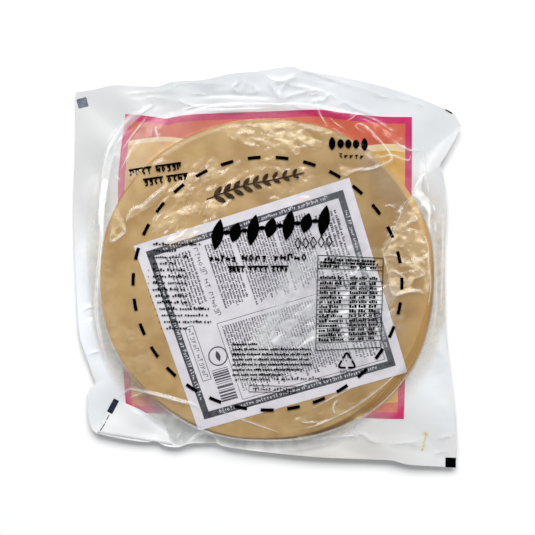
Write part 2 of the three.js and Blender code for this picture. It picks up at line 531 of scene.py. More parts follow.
FRONT_CREASES = each(
    Crease,
    # The foot of the tented film, down the left side from the top left corner
    (((-65.6, 92.0), (-63.0, 90.5), (-62.6, 88.2), (-67.2, 84.9), (-72.6, 82.7)), 1.1, 0.5, 0.7),
    (((-72.6, 82.7), (-77.0, 79.4), (-80.2, 75.1), (-85.7, 66.4), (-87.9, 60.9), (-90.0, 51.7),
      (-90.6, 47.3)), 1.3, 0.8, 1.0),
    (((-87.9, 45.7), (-88.4, 39.2), (-90.6, 26.7), (-90.0, 15.8), (-93.3, -18.0), (-91.1, -38.6),
      (-86.2, -59.3)), 1.5, 0.8, 1.1),
    (((-83.0, 50.0), (-81.3, 48.4), (-80.2, 46.8)), 0.7, 0.3, 0.5),
    (((-65.6, 82.0), (-71.0, 75.6), (-75.9, 69.0), (-79.7, 63.6)), 0.8, 0.35, 0.3),
    (((-66.6, 80.0), (-73.2, 72.4), (-78.6, 64.2)), 0.8, 0.3, 0.2),
    (((-71.0, 68.5), (-74.3, 64.2), (-76.4, 59.8), (-80.2, 52.2)), 0.8, 0.4, 0.35),
    (((-61.2, 77.8), (-60.7, 74.0), (-59.6, 70.2)), 1.0, 0.5, 0.6),
    # The long loop on the left of the stack
    (((-55.2, 47.3), (-55.8, 43.0), (-62.8, 37.0), (-67.7, 32.6), (-72.0, 31.4), (-75.9, 26.7),
      (-76.4, 23.9)), 0.9, 0.45, 0.5),
    (((-80.2, 23.4), (-77.0, 19.6), (-78.6, 17.4), (-81.9, 14.7), (-84.6, 13.6), (-85.1, 16.0),
      (-84.0, 20.1)), 0.8, 0.45),
    # Fine lines along the top
    (((-34.0, 86.1), (-12.2, 86.3), (2.4, 87.0)), 0.8, 0.4, 0.6),
    (((-30.7, 88.1), (-23.0, 88.3), (-13.3, 88.7)), 0.8, 0.3),
    (((-46.0, 85.7), (-41.1, 87.0), (-32.9, 88.7)), 0.8, 0.3),
    (((13.3, 89.2), (16.6, 87.6), (24.2, 86.5)), 0.8, 0.3),
    (((24.8, 90.8), (27.5, 86.0), (29.1, 82.1), (32.4, 76.2)), 0.7, 0.4, 0.35),
    (((34.0, 81.1), (37.3, 77.8), (42.2, 74.5)), 0.7, 0.3, 0.2),
    (((35.6, 75.6), (38.9, 72.9), (42.7, 71.3)), 0.7, 0.3, 0.2),
    # Curling lines by the top right corner
    (((42.2, 49.0), (47.6, 52.0), (56.3, 53.0), (65.6, 57.1), (67.5, 59.5), (65.0, 64.2), (59.0, 71.3),
      (53.6, 76.7), (49.5, 78.0), (48.1, 76.2), (52.5, 73.4)), 0.8, 0.5, 0.5),
    (((43.2, 79.7), (46.0, 81.1), (49.5, 83.2), (56.8, 81.1), (61.7, 78.3), (67.7, 74.3)), 0.8, 0.45, 0.35),
    (((68.8, 68.5), (75.3, 64.7), (78.1, 63.6), (85.1, 63.6)), 0.8, 0.4, 0.5),
    (((57.9, 59.3), (62.3, 59.8), (67.2, 60.9), (75.9, 58.2), (77.8, 59.8), (77.2, 61.5)), 0.8, 0.4, 0.5),
    # The tall fold down the right margin, and the spike of film that starts it
    (((85.7, 66.4), (85.1, 63.1), (85.7, 52.8), (86.8, 47.3), (88.1, 37.5)), 0.9, 0.5),
    (((78.6, 39.2), (80.2, 43.5), (85.1, 50.6), (85.7, 46.2)), 0.9, 0.6, 0.9),
    (((80.2, 41.3), (83.5, 39.2), (84.6, 40.8)), 0.9, 0.4, 0.8),
    (((80.8, 31.0), (83.0, 32.6), (85.1, 34.8), (87.9, 31.0), (87.6, 24.0), (88.9, 18.0)), 1.0, 0.6, 0.9),
    (((89.5, 35.4), (90.6, 32.1), (91.1, 29.9)), 0.8, 0.4, 0.7),
    (((91.4, 24.0), (91.4, 19.0)), 0.8, 0.3, 0.7),
    (((83.5, 20.1), (86.8, 11.4), (87.3, 0.5), (88.4, -10.9), (86.8, -22.3)), 0.9, 0.5),
    (((90.0, 14.7), (91.1, 6.5), (91.7, -18.0), (90.6, -31.6), (87.9, -42.4)), 1.2, 0.5),
    (((95.5, 36.4), (95.5, 6.5), (94.4, -23.4)), 1.0, 0.4, 0.5),
    # The air pocket on the right of the stack
    (((78.1, 38.6), (74.3, 34.3), (72.1, 28.8), (67.7, 18.0), (63.4, 10.3), (62.8, 7.1), (65.6, -4.4),
      (66.1, -10.3), (67.7, -14.7)), 0.9, 0.5, 0.3),
    (((62.8, 6.0), (68.3, 6.5), (72.6, 3.8), (75.0, 2.2), (83.0, 2.7)), 0.8, 0.5),
    (((66.6, -1.6), (72.6, -4.4), (74.3, -6.5), (74.8, -9.2)), 0.8, 0.45, 0.35),
    (((77.5, 4.9), (80.8, 0.5), (85.1, -3.8), (78.6, -6.5), (77.5, -9.8)), 0.8, 0.45, 0.35),
    (((73.2, 20.7), (77.5, 24.5), (80.2, 25.0), (81.9, 27.7)), 0.8, 0.45, 0.35),
    (((68.8, -15.8), (73.7, -14.1), (81.9, -13.3), (85.1, -14.7)), 0.8, 0.5),
    # Fine lines low on the stack
    (((-81.3, -70.7), (-76.4, -67.2), (-73.7, -66.4), (-62.8, -68.5), (-48.7, -72.4), (-38.9, -75.1),
      (-35.1, -78.9)), 1.0, 0.6, 1.0),
    (((-75.3, -71.5), (-69.4, -68.8), (-66.6, -67.7)), 0.8, 0.35, 0.3),
    (((-26.4, -77.8), (-15.0, -82.1), (6.8, -89.8)), 0.7, 0.3, 0.35),
    (((36.7, -79.4), (35.6, -77.2), (36.2, -74.0), (38.4, -71.8)), 0.8, 0.45, 0.6),
    (((18.2, -83.8), (23.1, -84.3), (27.5, -83.8)), 0.7),
    (((24.2, -76.7), (36.2, -70.2), (50.3, -63.1)), 0.8, 0.35, 0.25),
    (((17.7, -87.6), (28.6, -84.9), (49.2, -74.5), (67.7, -59.8), (74.3, -51.7)), 0.9, 0.35, 0.3),
    (((34.0, -94.1), (44.9, -87.0), (65.6, -70.7), (78.6, -54.9)), 0.9, 0.35, 0.3),
)

MARGIN_CREASES = each(
    Crease,
    # The front film's lifted edge, in an arch over the bottom weld
    (((-46.0, -96.3), (-42.2, -94.7), (-40.0, -92.5), (-37.3, -90.8), (-34.0, -90.0), (-31.3, -90.3),
      (-29.1, -91.7), (-27.5, -93.6), (-27.0, -95.7), (-25.3, -96.8)), 0.8, 0.7, 1.0),
    (((-49.2, -94.1), (-48.7, -91.9), (-47.1, -90.0)), 0.8, 0.5, 0.8),
    # The left and bottom margins
    (((-100.4, -24.5), (-97.6, -22.3), (-93.8, -21.2)), 0.8, 0.4, 0.5),
    (((-100.4, -28.8), (-96.6, -27.2), (-92.8, -26.7)), 0.8, -0.4, 0.2),
    (((-97.6, -48.4), (-94.4, -46.8), (-91.1, -46.2)), 0.8),
    (((19.9, -94.1), (34.0, -92.8), (44.9, -91.9), (49.2, -92.8)), 1.0, 0.5, 0.9),
    (((48.1, -93.0), (50.3, -90.8), (53.0, -91.9), (56.3, -94.4), (61.7, -96.3)), 0.9, 0.5, 0.5),
    (((67.7, -96.6), (77.5, -96.0), (82.4, -94.9)), 0.8, 0.3),
    (((77.0, -97.1), (83.0, -97.4)), 0.7, 0.3, 0.3),
    (((92.8, -93.6), (98.2, -92.5), (102.0, -91.1)), 1.0, 0.4, 0.8),
    (((90.6, -102.3), (94.9, -101.2), (98.2, -100.6)), 0.9, 0.3, 0.6),
    # The top margin, from left to right
    (((-76.4, 94.1), (-69.4, 94.7), (-52.0, 96.3)), 0.8, 0.3, 0.6),
    (((-67.7, 92.5), (-61.2, 92.5), (-54.1, 91.9)), 0.8, 0.3),
    (((-48.7, 90.8), (-43.8, 88.7), (-38.9, 87.6)), 0.8, 0.3, 0.5),
    (((-42.2, 94.4), (-36.7, 94.1), (-31.8, 94.1)), 0.8, 0.3, 0.9),
    (((-41.1, 93.0), (-28.6, 93.7), (-11.2, 93.5), (5.7, 91.9)), 1.1, -0.5, 0.0),
    (((-55.8, 99.6), (-52.5, 100.6), (-50.9, 97.9), (-47.6, 99.6), (-39.4, 100.1), (-19.9, 99.0)), 0.8,
      0.35),
    (((-15.0, 105.0), (-16.0, 100.6), (-18.8, 97.4), (-15.0, 94.1)), 0.9, 0.5, 0.3),
    (((-11.2, 104.4), (-12.2, 99.6), (-14.4, 94.1)), 0.9, 0.45, 0.2),
    (((-11.2, 100.6), (-7.9, 97.9), (-5.2, 95.7), (-9.0, 94.7), (-12.2, 94.1)), 0.8, 0.4, 0.3),
    (((0.3, 102.8), (2.4, 97.9), (4.6, 94.7), (6.8, 91.9)), 1.0, 0.6, 0.6),
    (((-3.0, 105.0), (3.0, 101.7), (7.9, 101.2), (17.1, 105.5)), 0.9, 0.5),
    (((6.8, 91.4), (8.4, 97.4), (11.7, 101.7), (17.7, 103.4)), 0.9, 0.5, 0.3),
    (((9.5, 100.6), (15.0, 98.5), (24.8, 96.8)), 0.9, 0.45),
    (((9.0, 91.9), (13.9, 93.6), (24.2, 96.0), (29.6, 95.2), (33.5, 91.9)), 1.0, 0.5, 0.3),
    (((22.0, 93.8), (24.8, 94.1), (28.6, 94.1)), 1.0, 0.3, 0.9),
    (((24.2, 88.7), (26.4, 90.8), (30.7, 90.8), (34.0, 93.6), (37.8, 90.8)), 0.9),
    (((17.1, 106.1), (24.2, 105.0), (38.4, 100.6), (56.3, 95.2)), 0.9, 0.35, 0.5),
    (((17.7, 104.4), (24.2, 103.6), (39.4, 99.3)), 0.8, -0.4, 0.0),
    (((56.3, 94.9), (61.7, 93.0), (66.6, 91.9)), 0.8, 0.3, 0.8),
    (((68.3, 92.2), (72.1, 91.1), (77.5, 89.8)), 0.8, 0.3, 0.3),
    (((80.8, 88.7), (85.1, 86.8)), 0.8, 0.3),
    (((37.8, 87.6), (42.2, 89.2), (47.6, 86.5), (58.5, 82.7)), 0.9, 0.35, 0.3),
)

PATCHES = each(
    Patch,
    # Painted glow on the air pocket on the right, with painted shade in its hollows
    (((78.1, 38.6), (72.1, 28.8), (66.1, 14.1), (62.8, 6.0), (65.6, -4.4), (66.6, -13.6), (70.4, -15.8),
      (78.1, -13.6), (85.1, -14.7), (87.9, -11.4), (87.9, 2.7), (84.0, 18.0), (84.6, 24.5), (80.2, 36.4)),
      0.36, Tone.WARM),
    (((73.2, 31.0), (76.4, 33.7), (78.6, 31.6), (74.3, 28.8)), -0.22, Tone.WARM),
    (((75.9, 21.8), (81.3, 27.7), (84.6, 24.5), (84.0, 20.1), (81.3, 19.6), (79.2, 16.9), (77.0, 19.6)),
      -0.34, Tone.WARM),
    (((63.9, 9.2), (71.0, 11.4), (76.4, 8.2), (78.6, 6.0), (78.1, 3.8), (74.3, 3.3), (72.1, 6.0),
      (65.0, 6.5)), -0.16, Tone.WARM),
    (((63.9, 4.4), (72.1, 1.6), (77.0, 0.5), (79.2, -1.6), (75.3, -7.1), (73.2, -4.4), (66.6, 0.0)), -0.32,
      Tone.WARM),
    (((79.7, -6.0), (85.1, -6.0), (84.6, -12.5), (78.6, -12.0), (78.1, -8.7)), -0.38, Tone.WARM),
    # Painted highlight near the top of the stack
    (((-24.2, 74.0), (-12.2, 76.2), (7.9, 78.3), (19.9, 76.7), (20.9, 74.0), (29.6, 65.3), (19.3, 65.8),
      (15.5, 68.0), (18.2, 62.6), (15.0, 60.4), (11.2, 64.2), (-1.9, 65.3), (-5.2, 67.5), (-8.4, 64.7),
      (-15.0, 68.5), (-19.3, 69.1)), 0.4, Tone.WARM),
    # Painted highlights on the left, in the loop, and above the leaflet, with painted shade in the loop
    (((-83.0, 32.1), (-80.2, 30.5), (-76.4, 20.7), (-81.3, 14.7), (-84.6, 13.1), (-85.1, 15.8),
      (-84.6, 24.5)), 0.3, Tone.WARM),
    (((-83.0, 19.6), (-80.2, 21.8), (-78.6, 20.1), (-81.3, 17.4)), -0.3, Tone.WARM),
    (((-76.4, 23.9), (-75.9, 28.8), (-65.0, 34.8), (-56.8, 41.9), (-54.7, 46.8), (-53.6, 44.1),
      (-56.8, 38.6), (-63.9, 32.1), (-74.3, 26.1)), 0.28, Tone.WARM),
    (((38.4, 57.1), (42.2, 54.4), (49.2, 53.3), (46.0, 50.6), (41.1, 49.5), (38.9, 52.8)), 0.35, Tone.WARM),
    # White glare on the tented film at the left and the right
    (((-69.5, 88.5), (-79.5, 80.0), (-86.0, 69.0), (-89.5, 55.5), (-91.0, 44.5), (-87.0, 44.5),
      (-84.5, 55.5), (-81.5, 65.5), (-76.0, 75.5), (-67.0, 84.5)), 0.3, Tone.WHITE),
    (((-89.5, 48.4), (-86.8, 45.2), (-88.4, 33.7), (-89.5, 17.0), (-91.1, 21.2), (-92.2, 28.8),
      (-91.1, 43.0)), 0.7, Tone.WHITE),
    (((78.6, 38.6), (80.8, 44.1), (85.1, 51.1), (84.0, 41.9), (88.4, 36.4), (88.4, 28.3), (81.9, 36.4)),
      0.45, Tone.WHITE),
    # Glare that runs across the leaflet
    (((0.3, -38.6), (4.6, -31.6), (13.3, -27.7), (17.7, -29.9), (12.2, -35.4), (17.7, -37.5), (34.0, -27.7),
      (46.0, -22.3), (56.8, -19.0), (57.9, -22.3), (46.0, -26.7), (23.1, -39.7), (12.2, -43.0),
      (4.1, -42.4)), 0.22, Tone.WHITE, 1.4, 0.8),
    (((34.0, -30.0), (44.0, -25.5), (60.0, -23.5), (60.5, -14.5), (47.0, -19.0), (35.0, -25.5)), 0.42,
      Tone.WHITE, 3.0, 0.6),
    (((-20.0, -66.0), (-9.0, -66.0), (-2.0, -50.0), (4.5, -36.0), (13.0, -18.0), (20.0, -6.0), (32.0, 3.0),
      (28.0, 8.5), (14.0, 6.0), (4.0, -10.0), (-5.0, -32.0), (-14.0, -52.0)), 0.24, Tone.WHITE, 6.0, 0.6),
    # Painted light down the left of the stack, and painted shade at its top right
    (((-93.0, 14.0), (-84.0, 14.0), (-81.0, -20.0), (-66.0, -36.0), (-58.0, -54.0), (-66.0, -62.0),
      (-80.0, -52.0), (-90.0, -30.0)), 0.13, Tone.WARM, 8.0),
    (((42.0, 72.0), (60.0, 64.0), (76.0, 46.0), (80.0, 26.0), (68.0, 30.0), (52.0, 50.0)), 0.12, Tone.SHADE,
      10.0),
    # Painted shade over the loose film on the leaflet
    (((-8.0, 6.0), (26.0, 44.0), (42.0, 44.0), (56.0, 10.0), (72.0, -50.0), (40.0, -62.0), (2.0, -56.0)),
      0.13, Tone.SHADE, 16.0, 0.7),
    # Doubled film in its own shade, by the folded corner and under the arch
    (((-58.5, -82.1), (-48.7, -82.7), (-42.2, -85.4), (-37.8, -89.2), (-42.2, -94.1), (-48.7, -97.4),
      (-53.0, -93.0), (-54.7, -88.1)), 0.25, Tone.SHADE),
    (((-42.2, -95.2), (-37.3, -91.4), (-34.0, -90.8), (-29.1, -92.5), (-27.5, -96.3), (-34.0, -96.3)), 0.35,
      Tone.SHADE),
)

CRUMPLES = (
    # Facets along the top margin, in both films
    Crumple((9.0, 100.0), (46.0, 14.0), 0.0, 6.0, 0.2, 3, 1.3, on_back=True),
    Crumple((-48.0, 95.0), (42.0, 8.0), 4.0, 3.4, 0.13, 4, 4.0, on_back=True),
    Crumple((66.0, 90.0), (34.0, 14.0), -20.0, 9.0, 0.1, 5, 3.0, on_back=True),
    Crumple((-20.0, -100.0), (40.0, 9.0), -5.0, 7.0, 0.2, 6, 2.6, on_back=True),
    Crumple((60.0, -98.0), (44.0, 12.0), -8.0, 9.0, 0.16, 7, 2.6, on_back=True),
    Crumple((97.0, -30.0), (9.0, 80.0), 0.0, 5.0, 0.16, 8, on_back=True),
    Crumple((-97.0, 0.0), (8.0, 80.0), 0.0, 6.0, 0.1, 9, on_back=True),
    # The painted highlight near the top of the stack, and the crackle beside it, both with painted glow
    Crumple((6.0, 71.0), (36.0, 10.0), -2.0, 2.4, 0.36, 11, 1.7, 0.16, 0.06, warm=True),
    Crumple((8.0, 47.0), (26.0, 14.0), -12.0, 3.6, 0.4, 12, 1.5, 0.1, 0.14, warm=True),
    # Silky folds that run up to the right, with painted glow
    Crumple((-38.5, 36.0), (34.0, 19.0), 47.0, 3.2, 0.55, 13, 2.2, 0.2, 0.36, warm=True),
    # The air pocket on the right, with painted glow, and painted glare over the leaflet
    Crumple((75.0, 13.0), (13.5, 32.0), 5.0, 5.0, 0.7, 14, 1.2, 0.14, 0.08, warm=True),
    Crumple((42.0, -18.0), (34.0, 38.0), 38.0, 3.6, 0.5, 15, 3.0, 0.16, 0.2),
    Crumple((10.0, -38.0), (34.0, 24.0), 38.0, 3.6, 0.4, 16, 3.0, 0.12, 0.14),
    # The tented film between the rim and the margin, with a little painted glare, and painted glow low on
    # the stack
    Crumple((-68.0, 66.0), (26.0, 15.0), 45.0, 6.0, 0.6, 17, 2.4, 0.03, 0.02),
    Crumple((66.0, 64.0), (22.0, 15.0), -40.0, 6.0, 0.5, 18, 1.6, 0.03, 0.02),
    Crumple((38.0, -82.0), (40.0, 10.0), 17.0, 3.6, 0.4, 19, 2.6, 0.1, 0.16, warm=True),
    Crumple((-56.0, -76.0), (26.0, 8.0), -12.0, 5.0, 0.3, 20, 2.6, 0.03, 0.03),
)


@dataclass
class BagForm:
    """The two films' shapes, in millimetres, as heights over the plan."""

    film_top: float = 10.25
    rim_drop: float = 0.3
    fan_drop: float = 0.55
    fan_least: float = 4.0
    fan_slack: float = 1.5
    rest_height: float = 1.3
    climb: float = 1.6
    weld_gap: float = 0.06
    loose_gap: float = 1.1
    underside_reach: float = 9.0
    floor_gap: float = 0.1
    tent_curve: float = 1.45
    pleat_count: int = 23
    pleat_height: float = 0.45
    swells: tuple[tuple[int, float, float], ...] = ((21, 0.1, 21.0), (22, 0.07, 9.0))
    most_tone: float = 0.9
    tent_widths: Steps = (6.0, 11.0, 8.0, 9.0, 7.5, 17.0, 9.0, 20.0)
    # Milky film hanging from the rim, with painted light over the shade beside the stack
    tent_whites_and_painted_light: Steps = (
        0.45, 0.45, 0.3, 0.16, 0.55, 0.7, 0.75, 0.45, 0.25, 0.08, 0.15, 0.25,
        0.26, 0.2, 0.05, 0.0, 0.0, 0.0, 0.05, 0.04, 0.1, 0.16, 0.18, 0.3,
    )
    # Painted glow on the film that hangs from the rim
    tent_painted_glows: Steps = (0.16, 0.1, 0.06, 0.06, 0.2, 0.0, 0.0, 0.0)
    # Painted shade on the white film, strongest beside the rim, at even steps round the bag
    rim_painted_shades: Steps = (0.45, 0.3, 0.35, 0.25, 1.0, 0.25, 0.4, 0.25)
    edge_painted_shades: Steps = (0.0, 0.15, 0.6, 1.0, 0.8, 0.22, 0.5, 0.4, 0.2, 0.15, 0.35, 0.55)
    painted_shade_reach: float = 7.0
    margin_shines: Steps = (0.7, 0.4, 0.1, 0.12, 0.2, 0.5, 0.8, 0.45)
    shine_reach: float = 6.0
    rim_dim: float = 0.6
    rim_reach: float = 2.5

    @staticmethod
    def folds(spot: Spot, creases: Sequence[Crease], on_back: bool) -> Values:
        """Give the height of some creases and of all crumples of one kind.

        Args:
            spot: Places on the bag.
            creases: The creases.
            on_back: Whether the crumples are those of both films, or of the front one alone.

        Returns:
            One height for each place.
        """
        relief = np.zeros_like(spot.x)
        for crumple in CRUMPLES:
            if crumple.on_back is on_back:
                relief += crumple.height * crumple.shape(spot)[0]
        for crease in creases:
            relief += crease.height * crease.shape(spot)
        return relief

    def middle(self, spot: Spot) -> Values:
        """Give the height midway between the films outside the stack, with the folds of both.

        Args:
            spot: Places on the bag.

        Returns:
            One height for each place.
        """
        pleats = np.sin(self.pleat_count * spot.angle + 2.2 * np.sin(3.0 * spot.angle))
        relief = self.folds(spot, MARGIN_CREASES, True)
        relief += self.pleat_height * pleats * np.sin(math.pi * spot.share)
        relief *= smooth(spot.share, 0.0, 0.35) * np.minimum(1.0, 0.4 + 2.5 * (1.0 - spot.share))
        return self.rest_height + (spot.lift - self.rest_height) * spot.share**self.climb + relief

    def gap(self, spot: Spot) -> Values:
        """Give the space between the two films outside the stack."""
        return self.weld_gap + self.loose_gap * (1.0 - spot.share) ** 2.0

    def tent(self, spot: Spot) -> Values:
        """Give the share of the rim's height that the front film keeps outside it."""
        width = around(spot.angle, self.tent_widths)
        return np.clip(1.0 - np.maximum(spot.distance / width, spot.share), 0.0, 1.0) ** self.tent_curve

    def cover(self, spot: Spot) -> Values:
        """Give the height of the front film without its own folds.

        Args:
            spot: Places on the bag.

        Returns:
            One height for each place.
        """
        reach = around(spot.angle, LOW_REACH)
        fan = reach - around(spot.angle, TOP_REACH)
        drop = self.rim_drop + self.fan_drop * np.maximum(fan - self.fan_slack, 0.0)
        inward = (1.0 - spot.rho) * reach / np.maximum(fan, self.fan_least)
        lying = self.film_top - drop * (1.0 - smooth(inward, 0.0, 1.0))
        middle = self.middle(spot)
        tented = middle + self.gap(spot) / 2.0 + (self.film_top - drop - middle) * self.tent(spot)
        return np.where(spot.rho < 1.0, lying, tented)

    def back(self, spot: Spot) -> Values:
        """Give the back film's height.

        Args:
            spot: Places on the bag.

        Returns:
            One height for each place, never under the floor.
        """
        height = self.middle(spot) - self.gap(spot) / 2.0
        rise = np.maximum(smooth(spot.distance, 0.0, self.underside_reach), smooth(spot.share, 0.0, 1.0))
        return np.maximum(height * rise, self.floor_gap)

    def front(self, spot: Spot) -> Values:
        """Give the front film's height.

        Args:
            spot: Places on the bag.

        Returns:
            One height for each place, never under the back film.
        """
        swell = sum(
            tall * GradientNoise(seed).at(spot.x / wide, spot.y / wide) for seed, tall, wide in self.swells
        )
        height = self.cover(spot) + swell * (1.0 - smooth(spot.rho, 0.9, 1.0))
        height += self.folds(spot, FRONT_CREASES, False) * (1.0 - smooth(spot.share, 0.75, 1.0))
        return np.maximum(height, self.back(spot) + self.weld_gap)

    def whitening(self, spot: Spot) -> Values:
        """Say how white the front film is: crease whitening, painted glare, and milky film with painted
        light where it hangs from the rim.

        Args:
            spot: Places on the bag.

        Returns:
            One share for each place, from 0 to 1.
        """
        white = self.hanging(spot, self.tent_whites_and_painted_light) + self.toned(spot, Tone.WHITE)
        white += self.painted_glares(spot, False)
        # Each crease adds its whitening, with a painted glint along it
        for crease in FRONT_CREASES + MARGIN_CREASES:
            white += 0.5 * crease.white * crease.shape(spot) ** 2
        return np.clip(white, 0.0, self.most_tone)

    def warmth(self, spot: Spot) -> Values:
        """Say how much painted glow, a highlight in the papadums' colour, lies on the film, from 0 to 1."""
        glow = self.painted_glares(spot, True) + self.hanging(spot, self.tent_painted_glows)
        return np.clip(glow + self.toned(spot, Tone.WARM), 0.0, self.most_tone)

    def shade(self, spot: Spot) -> Values:
        """Say how much painted shade lies on the film, from 0 to 1."""
        return np.clip(self.toned(spot, Tone.SHADE), 0.0, self.most_tone)

    @staticmethod
    def toned(spot: Spot, tone: Tone) -> Values:
        """Add up the patches of one tone."""
        return sum((patch.shape(spot) for patch in PATCHES if patch.tone is tone), np.zeros_like(spot.x))

    @staticmethod
    def painted_glares(spot: Spot, warm: bool) -> Values:
        """Add up the painted glare of the crumples with painted glow, or of the others."""
        chosen = (crumple for crumple in CRUMPLES if crumple.painted_glare and crumple.warm is warm)
        return sum((crumple.shape(spot)[1] for crumple in chosen), np.zeros_like(spot.x))

    def hanging(self, spot: Spot, strengths: Sequence[float]) -> Values:
        """Give the streaky veil of the film that hangs from the rim: partly milky film, partly painted
        light over the shade beside the stack.

        Args:
            spot: Places on the bag.
            strengths: How strong the veil is at even steps round the bag.

        Returns:
            One strength for each place.
        """
        width = around(spot.angle, self.tent_widths)
        reach = smooth(spot.outward, -0.7, 0.3) * (1.0 - smooth(spot.distance, 0.7 * width, 1.25 * width))
        streaks = 0.85 + 0.2 * GradientNoise(24).at(spot.angle * 26.0 + 30.0, spot.distance / 14.0)
        return np.maximum(around(spot.angle, strengths), 0.0) * reach * np.clip(streaks, 0.1, 1.2)

    def shine(self, spot: Spot) -> Values:
        """Say how much of its gloss the front film shows: little at the right and below.

        Args:
            spot: Places on the bag.

        Returns:
            One share for each place, from 0 to 1.
        """
        margin = np.clip(around(spot.angle, self.margin_shines), 0.0, 1.0)
        shine = margin + (1.0 - margin) * np.clip(1.0 - spot.distance / self.shine_reach, 0.0, 1.0)
        return shine * (1.0 - self.rim_dim * np.exp(-((spot.outward / self.rim_reach) ** 2)))

    def painted_shade(self, spot: Spot) -> Values:
        """Say how much painted shade darkens the white film: most beside the stack, at the right and below.

        Args:
            spot: Places on the bag.

        Returns:
            One share for each place, from 0 to 1.
        """
        edge = around(spot.angle, self.edge_painted_shades)
        rim = around(spot.angle, self.rim_painted_shades) - edge
        return np.clip(edge + rim * np.exp(-((spot.distance / self.painted_shade_reach) ** 2)), 0.0, 1.0)


# Meshes


def deselect_all() -> None:
    """Leave nothing selected and no mode open."""
    if bpy.context.object and bpy.context.object.mode != "OBJECT":
        bpy.ops.object.mode_set(mode="OBJECT")
    bpy.ops.object.select_all(action="DESELECT")


def select(piece: Piece) -> None:
    """Make one piece the only one that is selected.

    Args:
        piece: That piece.
    """
    deselect_all()
    piece.select_set(True)
    bpy.context.view_layer.objects.active = piece


def coordinates(piece: Piece) -> Values:
    """Read a mesh's points.

    Args:
        piece: The mesh object.

    Returns:
        The points in millimetres, one row each.
    """
    flat = np.empty(len(piece.data.vertices) * 3)
    piece.data.vertices.foreach_get("co", flat)
    return flat.reshape(-1, 3) / MM


def move_points(piece: Piece, x: Values, y: Values, z: Values) -> None:
    """Put a mesh's points where three rows in millimetres say."""
    piece.data.vertices.foreach_set("co", (np.column_stack([x, y, z]) * MM).ravel())
    piece.data.update()


def add_grid(name: str, columns: int, rows: int) -> tuple[Piece, Values, Values]:
    """Add a flat grid that covers the unit square.

    Args:
        name: The new piece's name.
        columns: Faces along X.
        rows: Faces along Y.

    Returns:
        The piece, and each point's share across and up, from 0 to 1.
    """
    deselect_all()
    bpy.ops.mesh.primitive_grid_add(
        x_subdivisions=columns, y_subdivisions=rows, size=2.0 * MM, location=(0.0, 0.0, 0.0)
    )
    piece = bpy.context.object
    piece.name = piece.data.name = name
    across, up = (coordinates(piece)[:, :2].T + 1.0) / 2.0
    return piece, across, up


def add_attribute(piece: Piece, name: str, values: Values) -> None:
    """Give every point of a piece a value that its finish reads."""
    piece.data.attributes.new(name, "FLOAT", "POINT").data.foreach_set("value", values)


def dress(piece: Piece, finish: Finish, replaces_solid: bool = True) -> None:
    """Give a piece its finish and its place in the frame.

    Args:
        piece: The mesh object.
        finish: Its finish.
        replaces_solid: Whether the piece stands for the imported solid.
    """
    piece.data.materials.clear()
    piece.data.materials.append(finish.material())
    select(piece)
    bpy.ops.object.shade_smooth()
    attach(piece, BODY)
    if replaces_solid:
        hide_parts(NODE)
    LOG.info("%s: %d points, %d faces", piece.name, len(piece.data.vertices), len(piece.data.polygons))


# Finishes


